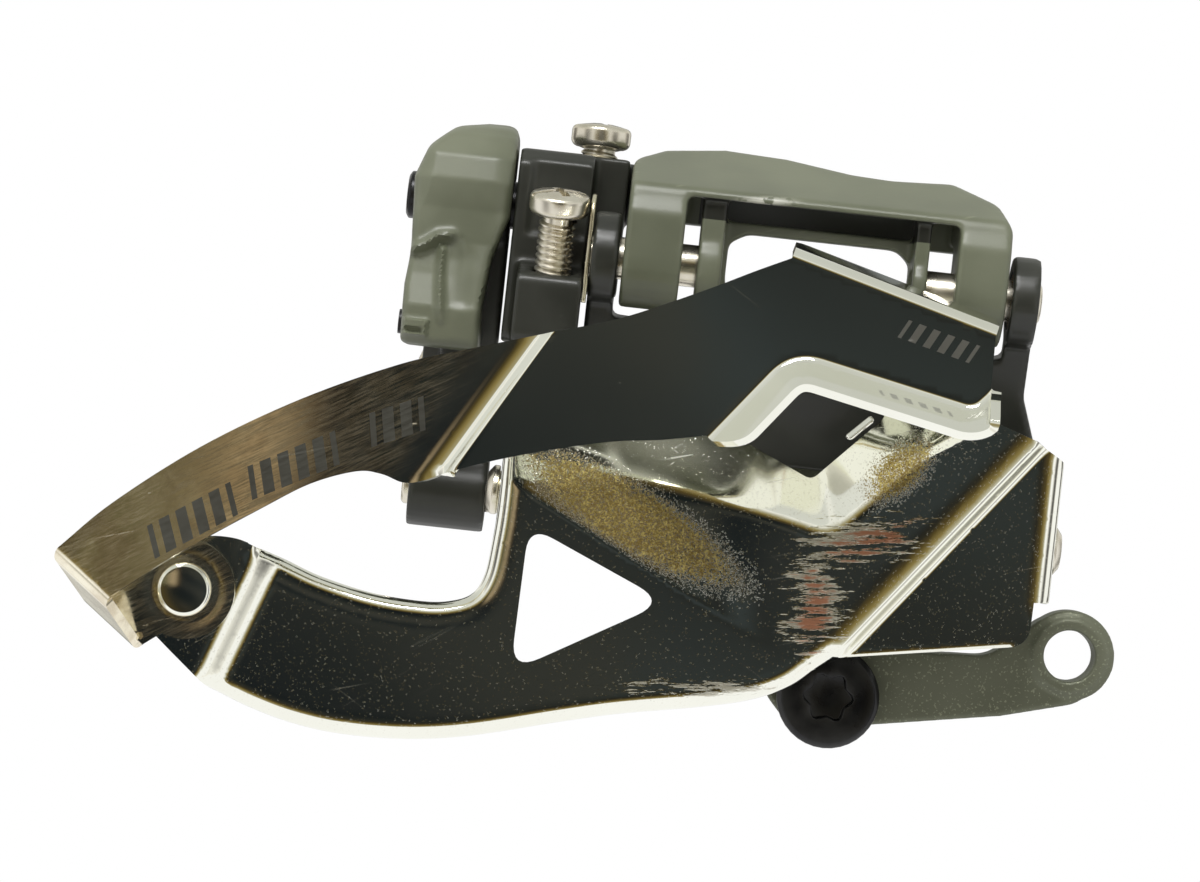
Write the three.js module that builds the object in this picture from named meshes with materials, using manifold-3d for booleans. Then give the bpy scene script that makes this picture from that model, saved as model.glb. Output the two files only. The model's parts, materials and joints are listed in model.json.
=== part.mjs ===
// Front derailleur with a low direct-mount bracket. Millimetres, +Z up.
// +X is the bicycle's forward direction and the direction of every link pivot. +Y points inboard.
// The origin lies on the bracket's frame-side face, midway between its two bolt holes.
// The cage is drawn fully inboard, where the return spring holds it.

import * as THREE from 'three';
import { mergeVertices } from 'three/addons/utils/BufferGeometryUtils.js';
import Module from 'manifold-3d';

const wasm = await Module();
wasm.setup();

// ---- driving dimensions ----------------------------------------------------------------------

const SHEET = 1.0;            // thickness of the cage plates
const GAP = 0.3;              // air between neighbouring pieces
const RUN = 0.15;             // radial clearance of pins and bushes

const OUTER_TOP = { y: -12, z: 39.7 };    // outer link's fixed pivot
const OUTER_LOW = { y: -4, z: 14.3 };     // outer link's pivot on the cage
const INNER_TOP = { y: -4, z: 44.3 };     // inner link's fixed pivot
const INNER_LOW = { y: 3, z: 13.7 };      // inner link's pivot on the cage

const OUTER_PLATE_Y = -30;    // near face of the outer plate
const TAIL_Y = -28;           // near face of its joggled tail
const TAB_Y = -19.9;          // near face of the tabs that reach the inner plate
const LAND_Y = -18.6;         // near face of the inner plate where the tabs lie on it
const INNER_PLATE_Y = -17.4;  // near face of the inner plate's main panel
const LIP_Y = -33;            // free edge of the flared lower lip

const FLANGE_LEFT = -49;      // outer face of the cage's left flange
const FLANGE_RIGHT = 8.8;     // outer face of the cage's right flange
const PIN_R = 2.2;            // upper pivot pins
const CAGE_PIN_R = 2.0;       // lower pivot pins
const BUSH_WALL = 0.5;

const CASTING = { left: -38.9, right: 0.8, leftArm: -32.9, rightArm: -4.6 };
const WINDOW_WALL = { y0: -10.2, y1: -8, left: -31.2, right: -7.5 };
const EAR = { left: -42.2, right: 4.2, width: 2.8, r: 4.7 };
const BLOCK = { left: -50.7, right: -39.2, front: -10, back: 2, top: 50.3, bottom: 30 };

const BOLT_HALF = 12.45;      // half the spacing of the bracket's bolt holes along X
const BOLT_RISE = 3.5;        // the forward hole is this far above the origin, the other below
const BOLT_HOLE_R = 2.7;
const BRACKET_FRONT = -4.6;   // near face of the bracket's arm

const LOW_SCREW = { x: -46, y: -14.3, z: 43.3, tilt: THREE.MathUtils.degToRad(15) };
const HIGH_SCREW = { x: -42.6, y: -1.5, z: 51.4 };
const SCREW_R = 2.0;

// ---- solids ----------------------------------------------------------------------------------

function solid(geometry) {
  const plain = geometry.index ? geometry.toNonIndexed() : geometry.clone();
  plain.deleteAttribute('normal');
  plain.deleteAttribute('uv');
  const merged = mergeVertices(plain, 1e-4);
  return new wasm.Manifold(new wasm.Mesh({
    numProp: 3,
    vertProperties: Float32Array.from(merged.attributes.position.array),
    triVerts: Uint32Array.from(merged.index.array),
  }));
}

function join(...parts) {
  return parts.reduce((all, part) => all.add(part));
}

function cut(body, ...tools) {
  return tools.reduce((rest, tool) => rest.subtract(tool), body);
}

function toGeometry(manifold) {
  const mesh = manifold.getMesh();
  const geometry = new THREE.BufferGeometry();
  geometry.setAttribute('position', new THREE.BufferAttribute(Float32Array.from(mesh.vertProperties), 3));
  geometry.setIndex(new THREE.BufferAttribute(Uint32Array.from(mesh.triVerts), 1));
  return geometry;
}

// An outline whose corners [a, b, radius] are rounded where a radius is given.
function outline(corners, segments = 4) {
  const points = [];
  corners.forEach(([a, b, radius = 0], i) => {
    const corner = new THREE.Vector2(a, b);
    if (!radius) {
      points.push(corner);
      return;
    }
    const count = corners.length;
    const before = new THREE.Vector2(...corners[(i + count - 1) % count]).sub(corner);
    const after = new THREE.Vector2(...corners[(i + 1) % count]).sub(corner);
    const half = Math.abs(before.angleTo(after)) / 2;
    const reach = Math.min(radius / Math.tan(half), before.length() * 0.48, after.length() * 0.48);
    const start = corner.clone().addScaledVector(before.normalize(), reach);
    const end = corner.clone().addScaledVector(after.normalize(), reach);
    points.push(...new THREE.QuadraticBezierCurve(start, corner, end).getPoints(segments));
  });
  return new THREE.Shape(points);
}

function circle(a, b, radius, segments = 28) {
  const shape = new THREE.Shape();
  const turn = (i) => (i / segments) * 2 * Math.PI;
  for (let i = 0; i < segments; i += 1) {
    const point = [a + radius * Math.cos(turn(i)), b + radius * Math.sin(turn(i))];
    if (i === 0) shape.moveTo(...point);
    else shape.lineTo(...point);
  }
  return shape;
}

// A prism whose outline is drawn in X and Z and which runs from y0 to y1.
function prismY(shape, y0, y1) {
  const options = { depth: y1 - y0, bevelEnabled: false, curveSegments: 6 };
  const geometry = new THREE.ExtrudeGeometry(shape, options);
  return solid(geometry.rotateX(Math.PI / 2).translate(0, y1, 0));
}

// A prism whose outline is drawn in Y and Z and which runs from x0 to x1.
function prismX(shape, x0, x1) {
  const options = { depth: x1 - x0, bevelEnabled: false, curveSegments: 6 };
  const geometry = new THREE.ExtrudeGeometry(shape, options);
  const turn = new THREE.Matrix4().makeBasis(
    new THREE.Vector3(0, 1, 0), new THREE.Vector3(0, 0, 1), new THREE.Vector3(1, 0, 0));
  return solid(geometry.applyMatrix4(turn).translate(x0, 0, 0));
}

function box(x0, x1, y0, y1, z0, z1) {
  const geometry = new THREE.BoxGeometry(x1 - x0, y1 - y0, z1 - z0);
  return solid(geometry.translate((x0 + x1) / 2, (y0 + y1) / 2, (z0 + z1) / 2));
}

const rodX = (x0, x1, at, radius, segments) => prismX(circle(at.y, at.z, radius, segments), x0, x1);
const rodY = (y0, y1, x, z, radius, segments) => prismY(circle(x, z, radius, segments), y0, y1);

// A turned piece: its profile [radius, height] starts and ends on the axis, heights run along +Z.
function turned(profile, segments = 28) {
  return new THREE.LatheGeometry(profile.map(([r, h]) => new THREE.Vector2(r, h)), segments)
    .rotateX(Math.PI / 2);
}

// A flat panel between corner points, thickened by one offset vector.
function panel(corners, offset) {
  const points = corners.map((corner) => new THREE.Vector3(...corner));
  const shift = new THREE.Vector3(...offset);
  const across = points[1].clone().sub(points[0]).normalize();
  const normal = new THREE.Vector3();
  points.forEach((point, i) => normal.add(point.clone().cross(points[(i + 1) % points.length])));
  normal.normalize();
  const up = normal.clone().cross(across);
  const flat = points.map((point) => new THREE.Vector2(point.dot(across), point.dot(up)));
  const faces = THREE.ShapeUtils.triangulateShape(flat, []);
  const count = points.length;
  const outward = normal.dot(shift) < 0 ? 1 : -1;
  const index = [];
  const face = (a, b, c) => index.push(...(outward > 0 ? [a, b, c] : [a, c, b]));
  faces.forEach(([a, b, c]) => {
    face(a, b, c);
    face(a + count, c + count, b + count);
  });
  points.forEach((_, i) => {
    const next = (i + 1) % count;
    face(i, next + count, next);
    face(i, i + count, next + count);
  });
  const all = [...points, ...points.map((point) => point.clone().add(shift))];
  const geometry = new THREE.BufferGeometry().setFromPoints(all);
  geometry.setIndex(index);
  const volume = solid(geometry);
  if (volume.volume() > 0) return volume;
  geometry.setIndex(index.flatMap((_, i) => (i % 3 ? [] : [index[i], index[i + 2], index[i + 1]])));
  return solid(geometry);
}

const at = (y, corners) => corners.map(([x, z]) => [x, y, z]);

// ---- the scene graph -------------------------------------------------------------------------

const derailleur = new THREE.Group();

const FINISHES = {
  chrome: { color: 0xc9c6bd, roughness: 0.12, metalness: 1 },
  cast: { color: 0x3b3d3a, roughness: 0.55, metalness: 0.4 },
  black: { color: 0x131415, roughness: 0.35, metalness: 0.2 },
  bracket: { color: 0x3f4246, roughness: 0.5, metalness: 0.6 },
  nickel: { color: 0xb9ae98, roughness: 0.3, metalness: 1 },
  blackSteel: { color: 0x17181a, roughness: 0.3, metalness: 0.7 },
  bush: { color: 0x5c4a2c, roughness: 0.5, metalness: 0.3 },
  spring: { color: 0x8f7a4a, roughness: 0.35, metalness: 1 },
};

function add(name, finish, shape) {
  const geometry = shape.isBufferGeometry ? shape : toGeometry(shape);
  const material = new THREE.MeshStandardMaterial(FINISHES[finish]);
  const mesh = new THREE.Mesh(geometry, material);
  mesh.name = name;
  derailleur.add(mesh);
  return mesh;
}

// ---- body casting: sloped roof, two arms, windowed wall, foot --------------------------------

function bodyCasting() {
  const silhouette = outline([
    [CASTING.left, 50.2, 1.5], [-35.6, 51.7], [-29.4, 52.5], [-22.8, 52.2], [-16, 51.2],
    [-11.8, 51], [-5.3, 51.4, 2], [-0.6, 49.4, 2], [1.1, 46, 2], [1.1, 36],
    [CASTING.left, 36],
  ]);
  const slope = outline([
    [-16.4, 46.4, 0.6], [-15.8, 47.6, 0.8], [-4, 52.8, 2], [0.2, 52.8, 1], [0.2, 44.4, 1], [-2.4, 44.4],
    [-5.5, 50, 1.5],
  ]);
  const outside = prismY(silhouette, -17, 1);
  const roof = outside.intersect(prismX(slope, CASTING.left, 1.9));
  const arm = outline([
    [-17, 39.7], [-17, 44.5, 1], [-15.8, 47.6], [-4, 52.8, 2], [0.2, 52.8, 1], [0.2, 45.6], [-7, 44.5],
    [-7, 39.7],
  ]);
  const arms = [[CASTING.left, CASTING.leftArm], [CASTING.rightArm, CASTING.right]].map(([x0, x1]) => join(
    rodX(x0, x1, OUTER_TOP, 5), prismX(arm, x0, x1).intersect(outside)));
  const bosses = [[WINDOW_WALL.left, -28.7], [-9, WINDOW_WALL.right]].map(([x0, x1]) => join(
    rodX(x0, x1, OUTER_TOP, 3.9), prismX(outline([[-15, 41], [-15, 47.2], [-8, 50], [-8, 36]]), x0, x1)));
  const wall = prismY(outline([
    [WINDOW_WALL.left, 30.5], [WINDOW_WALL.left, 44.9], [WINDOW_WALL.right, 44.9], [WINDOW_WALL.right, 30.5],
  ]), WINDOW_WALL.y0, WINDOW_WALL.y1);
  const opening = prismY(outline([
    [-28.1, 37, 2], [-28.1, 42.6, 1], [-26.2, 43.7, 2], [-10.6, 43.7, 2], [-9.2, 42.4, 1], [-9.2, 37, 2],
  ]), -17, 1);
  const foot = box(-27, -8, WINDOW_WALL.y0, -3.6, 30.5, 36);
  const bores = [
    rodX(CASTING.left - 1, -28, OUTER_TOP, PIN_R + RUN),
    rodX(-9.5, CASTING.right + 2, OUTER_TOP, PIN_R + RUN),
    ...[-22, -13].map((x) => rodY(-7.5, -3, x, 33.2, 1.7)),
    rodY(-5, 1, -36, 48, 1.7),
  ];
  return cut(cut(join(wall, ...bosses, foot), opening).add(join(roof, ...arms)), ...bores);
}
add('body_casting', 'cast', bodyCasting());

// ---- stop block with the limit screws --------------------------------------------------------

function stopBlock() {
  const main = prismX(outline([
    [BLOCK.front, BLOCK.bottom, 1.5], [BLOCK.front, BLOCK.top - 1.5, 1], [BLOCK.front + 2, BLOCK.top, 1],
    [BLOCK.back, BLOCK.top, 1], [BLOCK.back, BLOCK.bottom, 1.5],
  ]), BLOCK.left, -42.9);
  const side = box(-43.5, BLOCK.right, -6, BLOCK.back, 36, BLOCK.top);
  const ear = box(-44, -33, 0.5, 2.6, 44, BLOCK.top);
  const lug = prismX(outline([
    [-16, 29.8, 1.5], [-16, 36.9, 1], [-9.5, 38.4], [-9, 29.8],
  ]), -49.6, -42.8);
  const lowHole = new THREE.CylinderGeometry(SCREW_R + RUN, SCREW_R + RUN, 40, 20)
    .rotateX(Math.PI / 2 + LOW_SCREW.tilt).translate(LOW_SCREW.x, LOW_SCREW.y, LOW_SCREW.z);
  const headRoom = box(-49.3, -42.7, -20, -9.4, 41.2, BLOCK.top + 1);
  return cut(
    join(main, side, ear, lug),
    solid(lowHole),
    cut(headRoom, box(-60, -30, -9.6, 0, 0, 60)),
    rodY(-11, 5, -36, 48, 1.7),
    rodX(BLOCK.left - 1, -44.9, INNER_TOP, 2.5 + RUN),
    rodX(BLOCK.left - 1, -47.6, INNER_TOP, 4.7),
    prismX(circle(INNER_TOP.y, INNER_TOP.z + 3.6, 0.75, 12), -48, -45.6),
    solid(new THREE.CylinderGeometry(SCREW_R + RUN, SCREW_R + RUN, 40, 20)
      .rotateX(Math.PI / 2).translate(HIGH_SCREW.x, HIGH_SCREW.y, HIGH_SCREW.z - 12 + 20)),
  );
}
add('stop_block', 'black', stopBlock());

// A limit screw stands on its seat at z 0: thread below, domed head with a cross recess above.
function limitScrew(length) {
  const head = turned([
    [0, -length], [1.5, -length], [SCREW_R, 1 - length], [SCREW_R, 0], [2.7, 0.2], [3.15, 1.0], [3.15, 1.7],
    [2.8, 2.3], [1.5, 2.6], [0, 2.7],
  ]);
  const blade = (turn) => solid(new THREE.BoxGeometry(3.4, 0.8, 2).rotateZ(turn).translate(0, 0, 2.6));
  return toGeometry(cut(solid(head), blade(0), blade(Math.PI / 2)));
}
const lowScrew = add('low_limit_screw', 'nickel', limitScrew(11.5));
lowScrew.position.set(LOW_SCREW.x, LOW_SCREW.y, LOW_SCREW.z);
lowScrew.rotation.x = LOW_SCREW.tilt;
const highScrew = add('high_limit_screw', 'nickel', limitScrew(11.5));
highScrew.position.set(HIGH_SCREW.x, HIGH_SCREW.y, HIGH_SCREW.z);

// ---- screws that hold the block and the bracket, driven from behind --------------------------

function capScrew(name, x, z, seat, length) {
  const profile = [
    [0, -length], [1.2, -length], [1.5, 0.6 - length], [1.5, 0], [3.0, 0], [3.0, 1.9], [2.6, 2.3], [0, 2.3],
  ];
  const hexagon = new THREE.CylinderGeometry(1.45, 1.45, 3, 6);
  const socket = solid(hexagon.rotateX(Math.PI / 2).translate(0, 0, 2.9));
  const mesh = add(name, 'blackSteel', cut(solid(turned(profile)), socket));
  mesh.rotation.x = -Math.PI / 2;
  mesh.position.set(x, seat, z);
}
capScrew('block_screw', -36, 48, 2.6 + GAP, 6.5);
capScrew('bracket_screw_left', -22, 33.2, GAP, 7);
capScrew('bracket_screw_right', -13, 33.2, GAP, 7);

// ---- mounting bracket: arm with two bolt bosses, shelf and back plate ------------------------

function mountBracket() {
  const arm = prismY(outline([
    [-18.6, -4.4, 1], [-16, -7.2, 2], [-12.4, -8.3, 2], [-8.5, -6.2, 1], [6, -3.6], [14, -1.4, 3],
    [17.2, 3.5, 5],
    [13, 8.4, 4], [9, 7, 2], [4, 2.6, 4], [-4, 2.2], [-4, 9], [-21, 9], [-21, 2, 2],
  ]), BRACKET_FRONT, 0);
  const ring = rodY(BRACKET_FRONT, 0, BOLT_HALF, BOLT_RISE, 4.8, 36);
  const face = rodY(BRACKET_FRONT - 0.5, 0, BOLT_HALF, BOLT_RISE, 3.9, 36);
  const boss = rodY(BRACKET_FRONT, 0, -BOLT_HALF, -BOLT_RISE, 4.9, 36);
  const plate = prismY(outline([
    [-27, 37, 2], [-27, 14, 3], [-21, 8], [-21, 6], [-4, 6], [-4, 8], [-3, 14, 3], [-3, 37, 2],
  ]), -3.2, 0);
  const holes = [
    rodY(-9, 5, BOLT_HALF, BOLT_RISE, BOLT_HOLE_R, 32),
    rodY(-9, 5, -BOLT_HALF, -BOLT_RISE, BOLT_HOLE_R, 32),
    ...[-22, -13].map((x) => rodY(-9, 5, x, 33.2, 1.8)),
  ];
  return cut(join(arm, ring, face, boss, plate), ...holes);
}
add('mount_bracket', 'bracket', mountBracket());

function mountBolt() {
  const profile = [
    [0, -13], [2, -13], [2.45, -12.4], [2.45, 0], [5.4, 0], [5.4, 1.7], [4.9, 2.3], [3.6, 2.4], [0, 2.4],
  ];
  const star = new THREE.Shape(Array.from({ length: 36 }, (_, i) => {
    const turn = (i / 36) * 2 * Math.PI;
    const radius = 2.35 + 0.32 * Math.cos(6 * turn);
    return new THREE.Vector2(radius * Math.cos(turn), radius * Math.sin(turn));
  }));
  const recess = new THREE.ExtrudeGeometry(star, { depth: 3, bevelEnabled: false }).translate(0, 0, 0.6);
  return cut(solid(turned(profile, 36)), solid(recess));
}
const bolt = add('mount_bolt', 'blackSteel', mountBolt());
bolt.rotation.x = Math.PI / 2;
bolt.position.set(-BOLT_HALF, BRACKET_FRONT - GAP, -BOLT_RISE);

// ---- outer link: two ears, splayed arms, web, two lower barrels ------------------------------

const outerDrop = Math.hypot(OUTER_LOW.y - OUTER_TOP.y, OUTER_LOW.z - OUTER_TOP.z);
const outerLean = Math.atan2(OUTER_LOW.y - OUTER_TOP.y, OUTER_TOP.z - OUTER_LOW.z);

// Places a solid drawn on the outer link's own line, pivot at the origin, into the object's frame.
function onOuterLink(body) {
  const geometry = toGeometry(body).rotateX(outerLean).translate(0, OUTER_TOP.y, OUTER_TOP.z);
  return solid(geometry);
}

function outerLink() {
  const { left, right, width, r } = EAR;
  const inLeft = FLANGE_LEFT + SHEET + 0.4;
  const inRight = FLANGE_RIGHT - SHEET - 0.4;
  const barrel = 5.1;
  const [webLeft, webRight] = [-33.2, -4.3];
  const frame = prismY(outline([
    [left, 0], [left, -10, 3], [inLeft, -19, 3], [inLeft, -outerDrop],
    [inLeft + barrel, -outerDrop], [inLeft + barrel + 1, -22.6], [-36, -20.4, 2], [-2, -20.4, 2],
    [inRight - barrel - 0.6, -22.6], [inRight - barrel, -outerDrop], [inRight, -outerDrop],
    [inRight, -19, 3], [right, -10, 3], [right, 0],
    [right - width, 0], [right - width, -6.2, 0.6], [webRight, -6.4, 1], [webRight, -11.6, 1.5],
    [webLeft, -11.6, 1.5], [webLeft, -6.4, 1], [left + width, -6.2, 0.6], [left + width, 0],
  ]), -1.3, 1.1);
  const low = { y: 0, z: -outerDrop };
  const pivot = { y: 0, z: 0 };
  const bodies = [
    rodX(left, left + width, pivot, r), rodX(right - width, right, pivot, r),
    rodX(inLeft, inLeft + barrel, low, 4), rodX(inRight - barrel, inRight, low, 4),
  ];
  return onOuterLink(cut(
    join(frame, ...bodies),
    rodX(left - 1, left + width + 0.6, pivot, PIN_R + BUSH_WALL + 2 * RUN),
    rodX(right - width - 0.6, right + 1, pivot, PIN_R + BUSH_WALL + 2 * RUN),
    rodX(inLeft - 1, inLeft + barrel + 1, low, CAGE_PIN_R + BUSH_WALL + 2 * RUN),
    rodX(inRight - barrel - 1, inRight + 1, low, CAGE_PIN_R + BUSH_WALL + 2 * RUN),
  ));
}
add('outer_link', 'black', outerLink());

function bush(name, x0, x1, pivot, pinRadius) {
  const sleeve = rodX(x0, x1, pivot, pinRadius + RUN + BUSH_WALL, 24);
  add(name, 'bush', cut(sleeve, rodX(x0 - 1, x1 + 1, pivot, pinRadius + RUN, 24)));
}
bush('bush_ear_left', EAR.left + 0.1, EAR.left + EAR.width - 0.1, OUTER_TOP, PIN_R);
bush('bush_ear_right', EAR.right - EAR.width + 0.1, EAR.right - 0.1, OUTER_TOP, PIN_R);
bush('bush_low_left', FLANGE_LEFT + SHEET + 0.5, FLANGE_LEFT + SHEET + 5.4, OUTER_LOW, CAGE_PIN_R);
bush('bush_low_right', FLANGE_RIGHT - SHEET - 5.4, FLANGE_RIGHT - SHEET - 0.5, OUTER_LOW, CAGE_PIN_R);

// ---- pivot pins ------------------------------------------------------------------------------

// A pin along X from its flat end to its head; the head is a low dome of the given radius.
function pinX(name, end, seat, headRadius, pivot, radius, finish = 'nickel') {
  const side = Math.sign(seat - end);
  const length = Math.abs(seat - end);
  const dome = headRadius > radius
    ? [[headRadius, 0], [headRadius, 0.6], [headRadius * 0.7, 1.2], [0, 1.4]]
    : [[radius * 0.8, 0.3], [0, 0.3]];
  const profile = [[0, -length], [radius - 0.3, -length], [radius, 0.3 - length], [radius, 0], ...dome];
  const mesh = add(name, finish, turned(profile));
  mesh.rotation.y = side * Math.PI / 2;
  mesh.position.set(seat, pivot.y, pivot.z);
}
pinX('link_pin_left', -29.2, EAR.left - 0.2, PIN_R, OUTER_TOP, PIN_R);
pinX('link_pin_right', -8.6, EAR.right + 0.2, PIN_R, OUTER_TOP, PIN_R);
pinX('cage_pin_left', -43, FLANGE_LEFT - GAP, 2.6, OUTER_LOW, CAGE_PIN_R);
pinX('cage_pin_right', 2.8, FLANGE_RIGHT + GAP, 2.6, OUTER_LOW, CAGE_PIN_R);
pinX('inner_pin_top', -45.2, -61.9, 2.5, INNER_TOP, 2.5, 'blackSteel');
pinX('inner_pin_low', -59.7, FLANGE_LEFT + SHEET + GAP, 2.6, INNER_LOW, CAGE_PIN_R);

// ---- inner link, lever block and cable anchor ------------------------------------------------

const innerDrop = Math.hypot(INNER_LOW.y - INNER_TOP.y, INNER_LOW.z - INNER_TOP.z);
const innerLean = Math.atan2(INNER_LOW.y - INNER_TOP.y, INNER_TOP.z - INNER_LOW.z);

function onInnerLink(body) {
  return solid(toGeometry(body).rotateX(innerLean).translate(0, INNER_TOP.y, INNER_TOP.z));
}

const LINK = { left: -58.9, right: -51.1, thick: 4.4 };
const OPEN_RUN = 0.35;        // radial clearance of the pivot where the linkage is opened

function innerLink() {
  const low = { y: 0, z: -innerDrop };
  const pivot = { y: 0, z: 0 };
  const web = box(LINK.left, LINK.right, -LINK.thick / 2, LINK.thick / 2, -innerDrop, 0);
  const waist = prismX(outline([[-2, -17.5], [-2, -8], [-7.4, -10.6, 1], [-7.4, -14.4, 1]]), -57, -54);
  const anchor = rodY(LINK.thick / 2 - 1, LINK.thick / 2 + 1.2, -55, -19.5, 4.4);
  return onInnerLink(cut(
    join(
      rodX(LINK.left, LINK.right, pivot, 4.3), rodX(LINK.left, LINK.right + 0.4, low, 4.2),
      web, waist, anchor,
    ),
    rodX(LINK.left - 1, LINK.right + 1, pivot, 2.5 + BUSH_WALL + 2 * RUN),
    rodX(LINK.left - 1, LINK.right + 1, low, CAGE_PIN_R + OPEN_RUN),
    rodX(-60, -50, { y: -5.4, z: -12.6 }, 1.3 + RUN, 20),
    rodY(-5, 8, -55, -19.5, 2.1 + RUN, 20),
  ));
}
add('inner_link', 'black', innerLink());
bush('bush_lever', LINK.left + 0.1, LINK.right - 0.1, INNER_TOP, 2.5);

function leverBlock() {
  const section = prismX(outline([
    [-12.6, 29.2, 1], [-14.2, 32.5, 1], [-13.6, 37], [-11.2, 43, 1], [-11.6, 48.6, 2], [-7, 52.6, 2],
    [-2, 52.6, 2],
    [2.6, 49, 2], [2.6, 44.3], [-4, 44.3], [-7.2, 42.5], [-3.9, 28.4],
  ]), -61.6, LINK.right);
  const silhouette = prismY(outline([
    [-61, 28.6, 0.6], [-61.1, 34.7], [-60.8, 38.4], [-61.5, 46.5, 2], [-60, 50, 2], [-56.5, 52, 2],
    [LINK.right, 52.6],
    [LINK.right, 42.7], [-52.6, 38.5], [-53, 33], [-52.7, 28.4],
  ]), -20, 6);
  const grooveFace = [[-63, -16, 38], [-50, -16, 43.5], [-50, -11.6, 41.2], [-63, -11.6, 35.7]];
  const groove = panel(grooveFace, [0, 1.2, -2.6]);
  return cut(
    section.intersect(silhouette),
    rodX(LINK.left - GAP, LINK.right + 1, INNER_TOP, 4.3 + GAP),
    rodX(-63, LINK.right + 1, INNER_TOP, 2.5 + RUN),
    onInnerLink(box(LINK.left - GAP, LINK.right + 1, -2.2 - GAP, 6, -16.2, -1)),
    onInnerLink(box(-57 - GAP, -54 + GAP, -7.8, 6, -20, -8)),
    onInnerLink(rodX(-63, -50, { y: -5.4, z: -12.6 }, 1.3 + RUN, 20)),
    groove,
  );
}
add('lever_block', 'cast', leverBlock());
add('lever_cross_pin', 'blackSteel', onInnerLink(rodX(-61.6, -53.2, { y: -5.4, z: -12.6 }, 1.3, 20)));

function anchorBolt() {
  const hex = solid(new THREE.CylinderGeometry(4.2, 4.2, 3, 6).rotateX(Math.PI / 2).translate(0, 0, 1.5));
  const shank = solid(new THREE.CylinderGeometry(2.1, 2.1, 6.6, 20).rotateX(Math.PI / 2).translate(0, 0, -3));
  const socket = solid(new THREE.CylinderGeometry(1.9, 1.9, 4, 6).rotateX(Math.PI / 2).translate(0, 0, 3.4));
  return toGeometry(cut(hex.add(shank), socket));
}
const anchorSeat = LINK.thick / 2 + 1.2 + GAP;
const washerThick = 1.4;
function onLever(mesh, height) {
  const place = new THREE.Vector3(-55, height, -19.5).applyAxisAngle(new THREE.Vector3(1, 0, 0), innerLean);
  mesh.rotation.x = innerLean - Math.PI / 2;
  mesh.position.set(place.x, INNER_TOP.y + place.y, INNER_TOP.z + place.z);
}
const washer = new THREE.CylinderGeometry(4.6, 4.6, washerThick, 28).rotateX(Math.PI / 2)
  .translate(0, 0, washerThick / 2);
const washerHole = new THREE.CylinderGeometry(2.3, 2.3, 4, 20).rotateX(Math.PI / 2);
onLever(add('anchor_washer', 'nickel', toGeometry(cut(solid(washer), solid(washerHole)))), anchorSeat);
onLever(add('cable_anchor_bolt', 'blackSteel', anchorBolt()), anchorSeat + washerThick + GAP);

// ---- return spring: coil round the inner link's fixed pin, with two axial ends ---------------

class SpringLine extends THREE.Curve {
  getPoint(t, target = new THREE.Vector3()) {
    const coil = { radius: 3.6, turns: 2.5, start: -48.5, pitch: -0.95, tang: 1.4 };
    const tangShare = 0.12;
    const along = THREE.MathUtils.clamp((t - tangShare) / (1 - 2 * tangShare), 0, 1);
    const turn = along * coil.turns * 2 * Math.PI;
    const before = Math.max(0, tangShare - t) / tangShare;
    const after = Math.max(0, t - 1 + tangShare) / tangShare;
    const x = coil.start + coil.turns * coil.pitch * along * 0.75 + coil.tang * before - 0.55 * after;
    return target.set(
      x, INNER_TOP.y + coil.radius * Math.sin(turn), INNER_TOP.z + coil.radius * Math.cos(turn));
  }
}
const wire = circle(0, 0, 0.4, 8);
add('return_spring', 'spring', new THREE.ExtrudeGeometry(wire, {
  steps: 70, extrudePath: new SpringLine(), bevelEnabled: false,
}));

// ---- cage: outer plate -----------------------------------------------------------------------

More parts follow.
